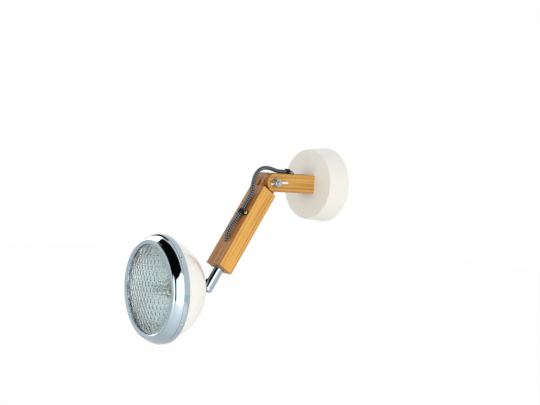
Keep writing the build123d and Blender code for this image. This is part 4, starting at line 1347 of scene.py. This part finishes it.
class WALLLAMP_OT_stage(Operator):
    """Set up the pale floor, the soft light, the white surroundings and the camera"""
    bl_idname = "wall_lamp.stage"
    bl_label = "Stage"
    bl_options = {"REGISTER", "UNDO"}

    def execute(self, context):
        scene = context.scene
        settings = scene.stage_settings
        scene.view_settings.view_transform = "Standard"
        self.surroundings(scene, settings)
        self.floor(settings)
        for name, setting, (width, height), way, rays in LIGHTS:
            hide_from(head_light(name, getattr(settings, setting), width, height, from_head(*way)), rays)
        self.cards()
        camera = bpy.data.cameras.new("camera")
        camera.sensor_width = SENSOR_WIDTH
        camera.lens = settings.focal
        camera.clip_start = 0.05
        viewer = bpy.data.objects.new("camera", camera)
        view = turn(CAMERA_AZIMUTH, "Z") @ turn(QUARTER - CAMERA_ELEVATION, "X") @ turn(CAMERA_ROLL, "Z")
        viewer.matrix_world = shift(*CAMERA_PLACE) @ view
        scene.collection.objects.link(viewer)
        scene.camera = viewer
        return {"FINISHED"}

    def surroundings(self, scene, settings):
        """White to the eye, softer as light."""
        world = bpy.data.worlds.new("studio")
        world.use_nodes = True
        tree = world.node_tree
        soft = tree.nodes["Background"]
        white = node(tree, "ShaderNodeBackground")
        for background, strength in ((soft, settings.ambient), (white, 1.0)):
            fill(background, Color=(1.0, 1.0, 1.0, 1.0), Strength=strength)
        mixed_shaders(tree, seen_directly(tree), soft.outputs["Background"], white.outputs["Background"],
                      "World Output")
        scene.world = world

    def floor(self, settings):
        """Pale floor that keeps a faint shadow. Bright metal shows a painted pool of light on it, brighter
        towards the key light.
        """
        clear_selection()
        bpy.ops.mesh.primitive_plane_add(size=FLOOR_SIZE, location=(0.0, 0.0, -settings.floor_drop))
        floor = call_active("floor")
        material, tree, shader = new_material("pale_floor")
        fill(shader, Base_Color=(0.9, 0.9, 0.9, 1.0), Roughness=0.9)
        glow = node(tree, "ShaderNodeEmission")
        # Painted light: in metal the floor glows brighter towards the key light
        painted_pool = node(tree, "ShaderNodeVectorMath", operation="DISTANCE")
        give(painted_pool.inputs[0], object_place(tree))
        give(painted_pool.inputs[1], PAINTED_POOL_MIDDLE)
        fall = fill(node(tree, "ShaderNodeMapRange"), Value=painted_pool.outputs["Value"], From_Max=PAINTED_POOL_REACH,
                    To_Min=PAINTED_POOL_GAIN, To_Max=PAINTED_POOL_FAR_GAIN)
        in_metal = node(tree, "ShaderNodeLightPath").outputs["Is Glossy Ray"]
        fill(glow, Strength=maths(tree, "MULTIPLY_ADD", in_metal, fall.outputs["Result"], 1.0))
        mixed_shaders(tree, maths(tree, "MULTIPLY", seen_directly(tree), FLOOR_WHITE), shader.outputs["BSDF"],
                      glow.outputs["Emission"], "Material Output")
        floor.data.materials.append(material)

    def cards(self):
        """Dark cards above and beside the lamp, which only bright metal shows."""
        for name, outline, grey in (("card_above", CARD_ABOVE, BLACK_CARD),
                                    ("card_ahead", CARD_AHEAD, GREY_CARD)):
            self.card(name, [head_middle + Vector((x, y, CARD_HEIGHT)) for x, y in outline], grey)
        for name, (left, right, lower, upper) in (("card_beside", CARD_BESIDE), ("card_behind", CARD_BEHIND)):
            corners = ((left, lower), (right, lower), (right, upper), (left, upper))
            self.card(name, [from_head(*corner, CARD_DISTANCE) for corner in corners], BLACK_CARD)

    def card(self, name, corners, grey):
        """One card between its corners."""
        material, _, shader = new_material(name)
        fill(shader, Base_Color=(grey, grey, grey, 1.0), Roughness=1.0, Specular_IOR_Level=0.0)
        clear_selection()
        bpy.ops.mesh.primitive_circle_add(vertices=len(corners), radius=1.0, fill_type="NGON")
        card = call_active(name)
        for vertex, corner in zip(card.data.vertices, corners):
            vertex.co = corner
        card.data.materials.append(material)
        hide_from(card, ("camera", "diffuse", "transmission", "volume_scatter", "shadow"))


class WALLLAMP_PT_pieces(Panel):
    """Lists the lamp's pieces and settings"""
    bl_idname = "WALLLAMP_PT_pieces"
    bl_label = "Wall Lamp"
    bl_space_type = "VIEW_3D"
    bl_region_type = "UI"
    bl_category = "Wall Lamp"

    def draw(self, context):
        layout = self.layout
        for operator in OPERATORS:
            layout.operator(operator.bl_idname)
        for name, (_, label) in POINTERS.items():
            group = getattr(context.scene, name)
            box = layout.box()
            box.label(text=label)
            for key in group.__annotations__:
                box.prop(group, key)


OPERATORS = (WALLLAMP_OT_finishes, WALLLAMP_OT_stage, WALLLAMP_OT_cable, WALLLAMP_OT_clips, WALLLAMP_OT_hinge,
             WALLLAMP_OT_shell, WALLLAMP_OT_lens)
POINTERS = {
    "cable_sizes": (CableSizes, "Cable"),
    "clip_sizes": (ClipSizes, "Saddle clips"),
    "hinge_sizes": (HingeSizes, "Hinge"),
    "head_sizes": (HeadSizes, "Head"),
    "lamp_colours": (LampColours, "Colours"),
    "stage_settings": (StageSettings, "Stage"),
}


def register():
    """Adds the classes and the scene's settings."""
    for name, (group, label) in POINTERS.items():
        bpy.utils.register_class(group)
        setattr(bpy.types.Scene, name, PointerProperty(type=group, name=label))
    for operator in OPERATORS:
        bpy.utils.register_class(operator)
    bpy.utils.register_class(WALLLAMP_PT_pieces)


def unregister():
    """Takes the classes and the scene's settings away again."""
    bpy.utils.unregister_class(WALLLAMP_PT_pieces)
    for operator in reversed(OPERATORS):
        bpy.utils.unregister_class(operator)
    for name, (group, _) in reversed(POINTERS.items()):
        delattr(bpy.types.Scene, name)
        bpy.utils.unregister_class(group)


def main():
    """Builds the whole lamp."""
    register()
    bpy.ops.wall_lamp.finishes()
    bpy.ops.wall_lamp.stage()
    bpy.ops.wall_lamp.cable()
    bpy.ops.wall_lamp.clips()
    bpy.ops.wall_lamp.hinge()
    bpy.ops.wall_lamp.shell()
    bpy.ops.wall_lamp.lens()


if __name__ == "__main__":
    main()
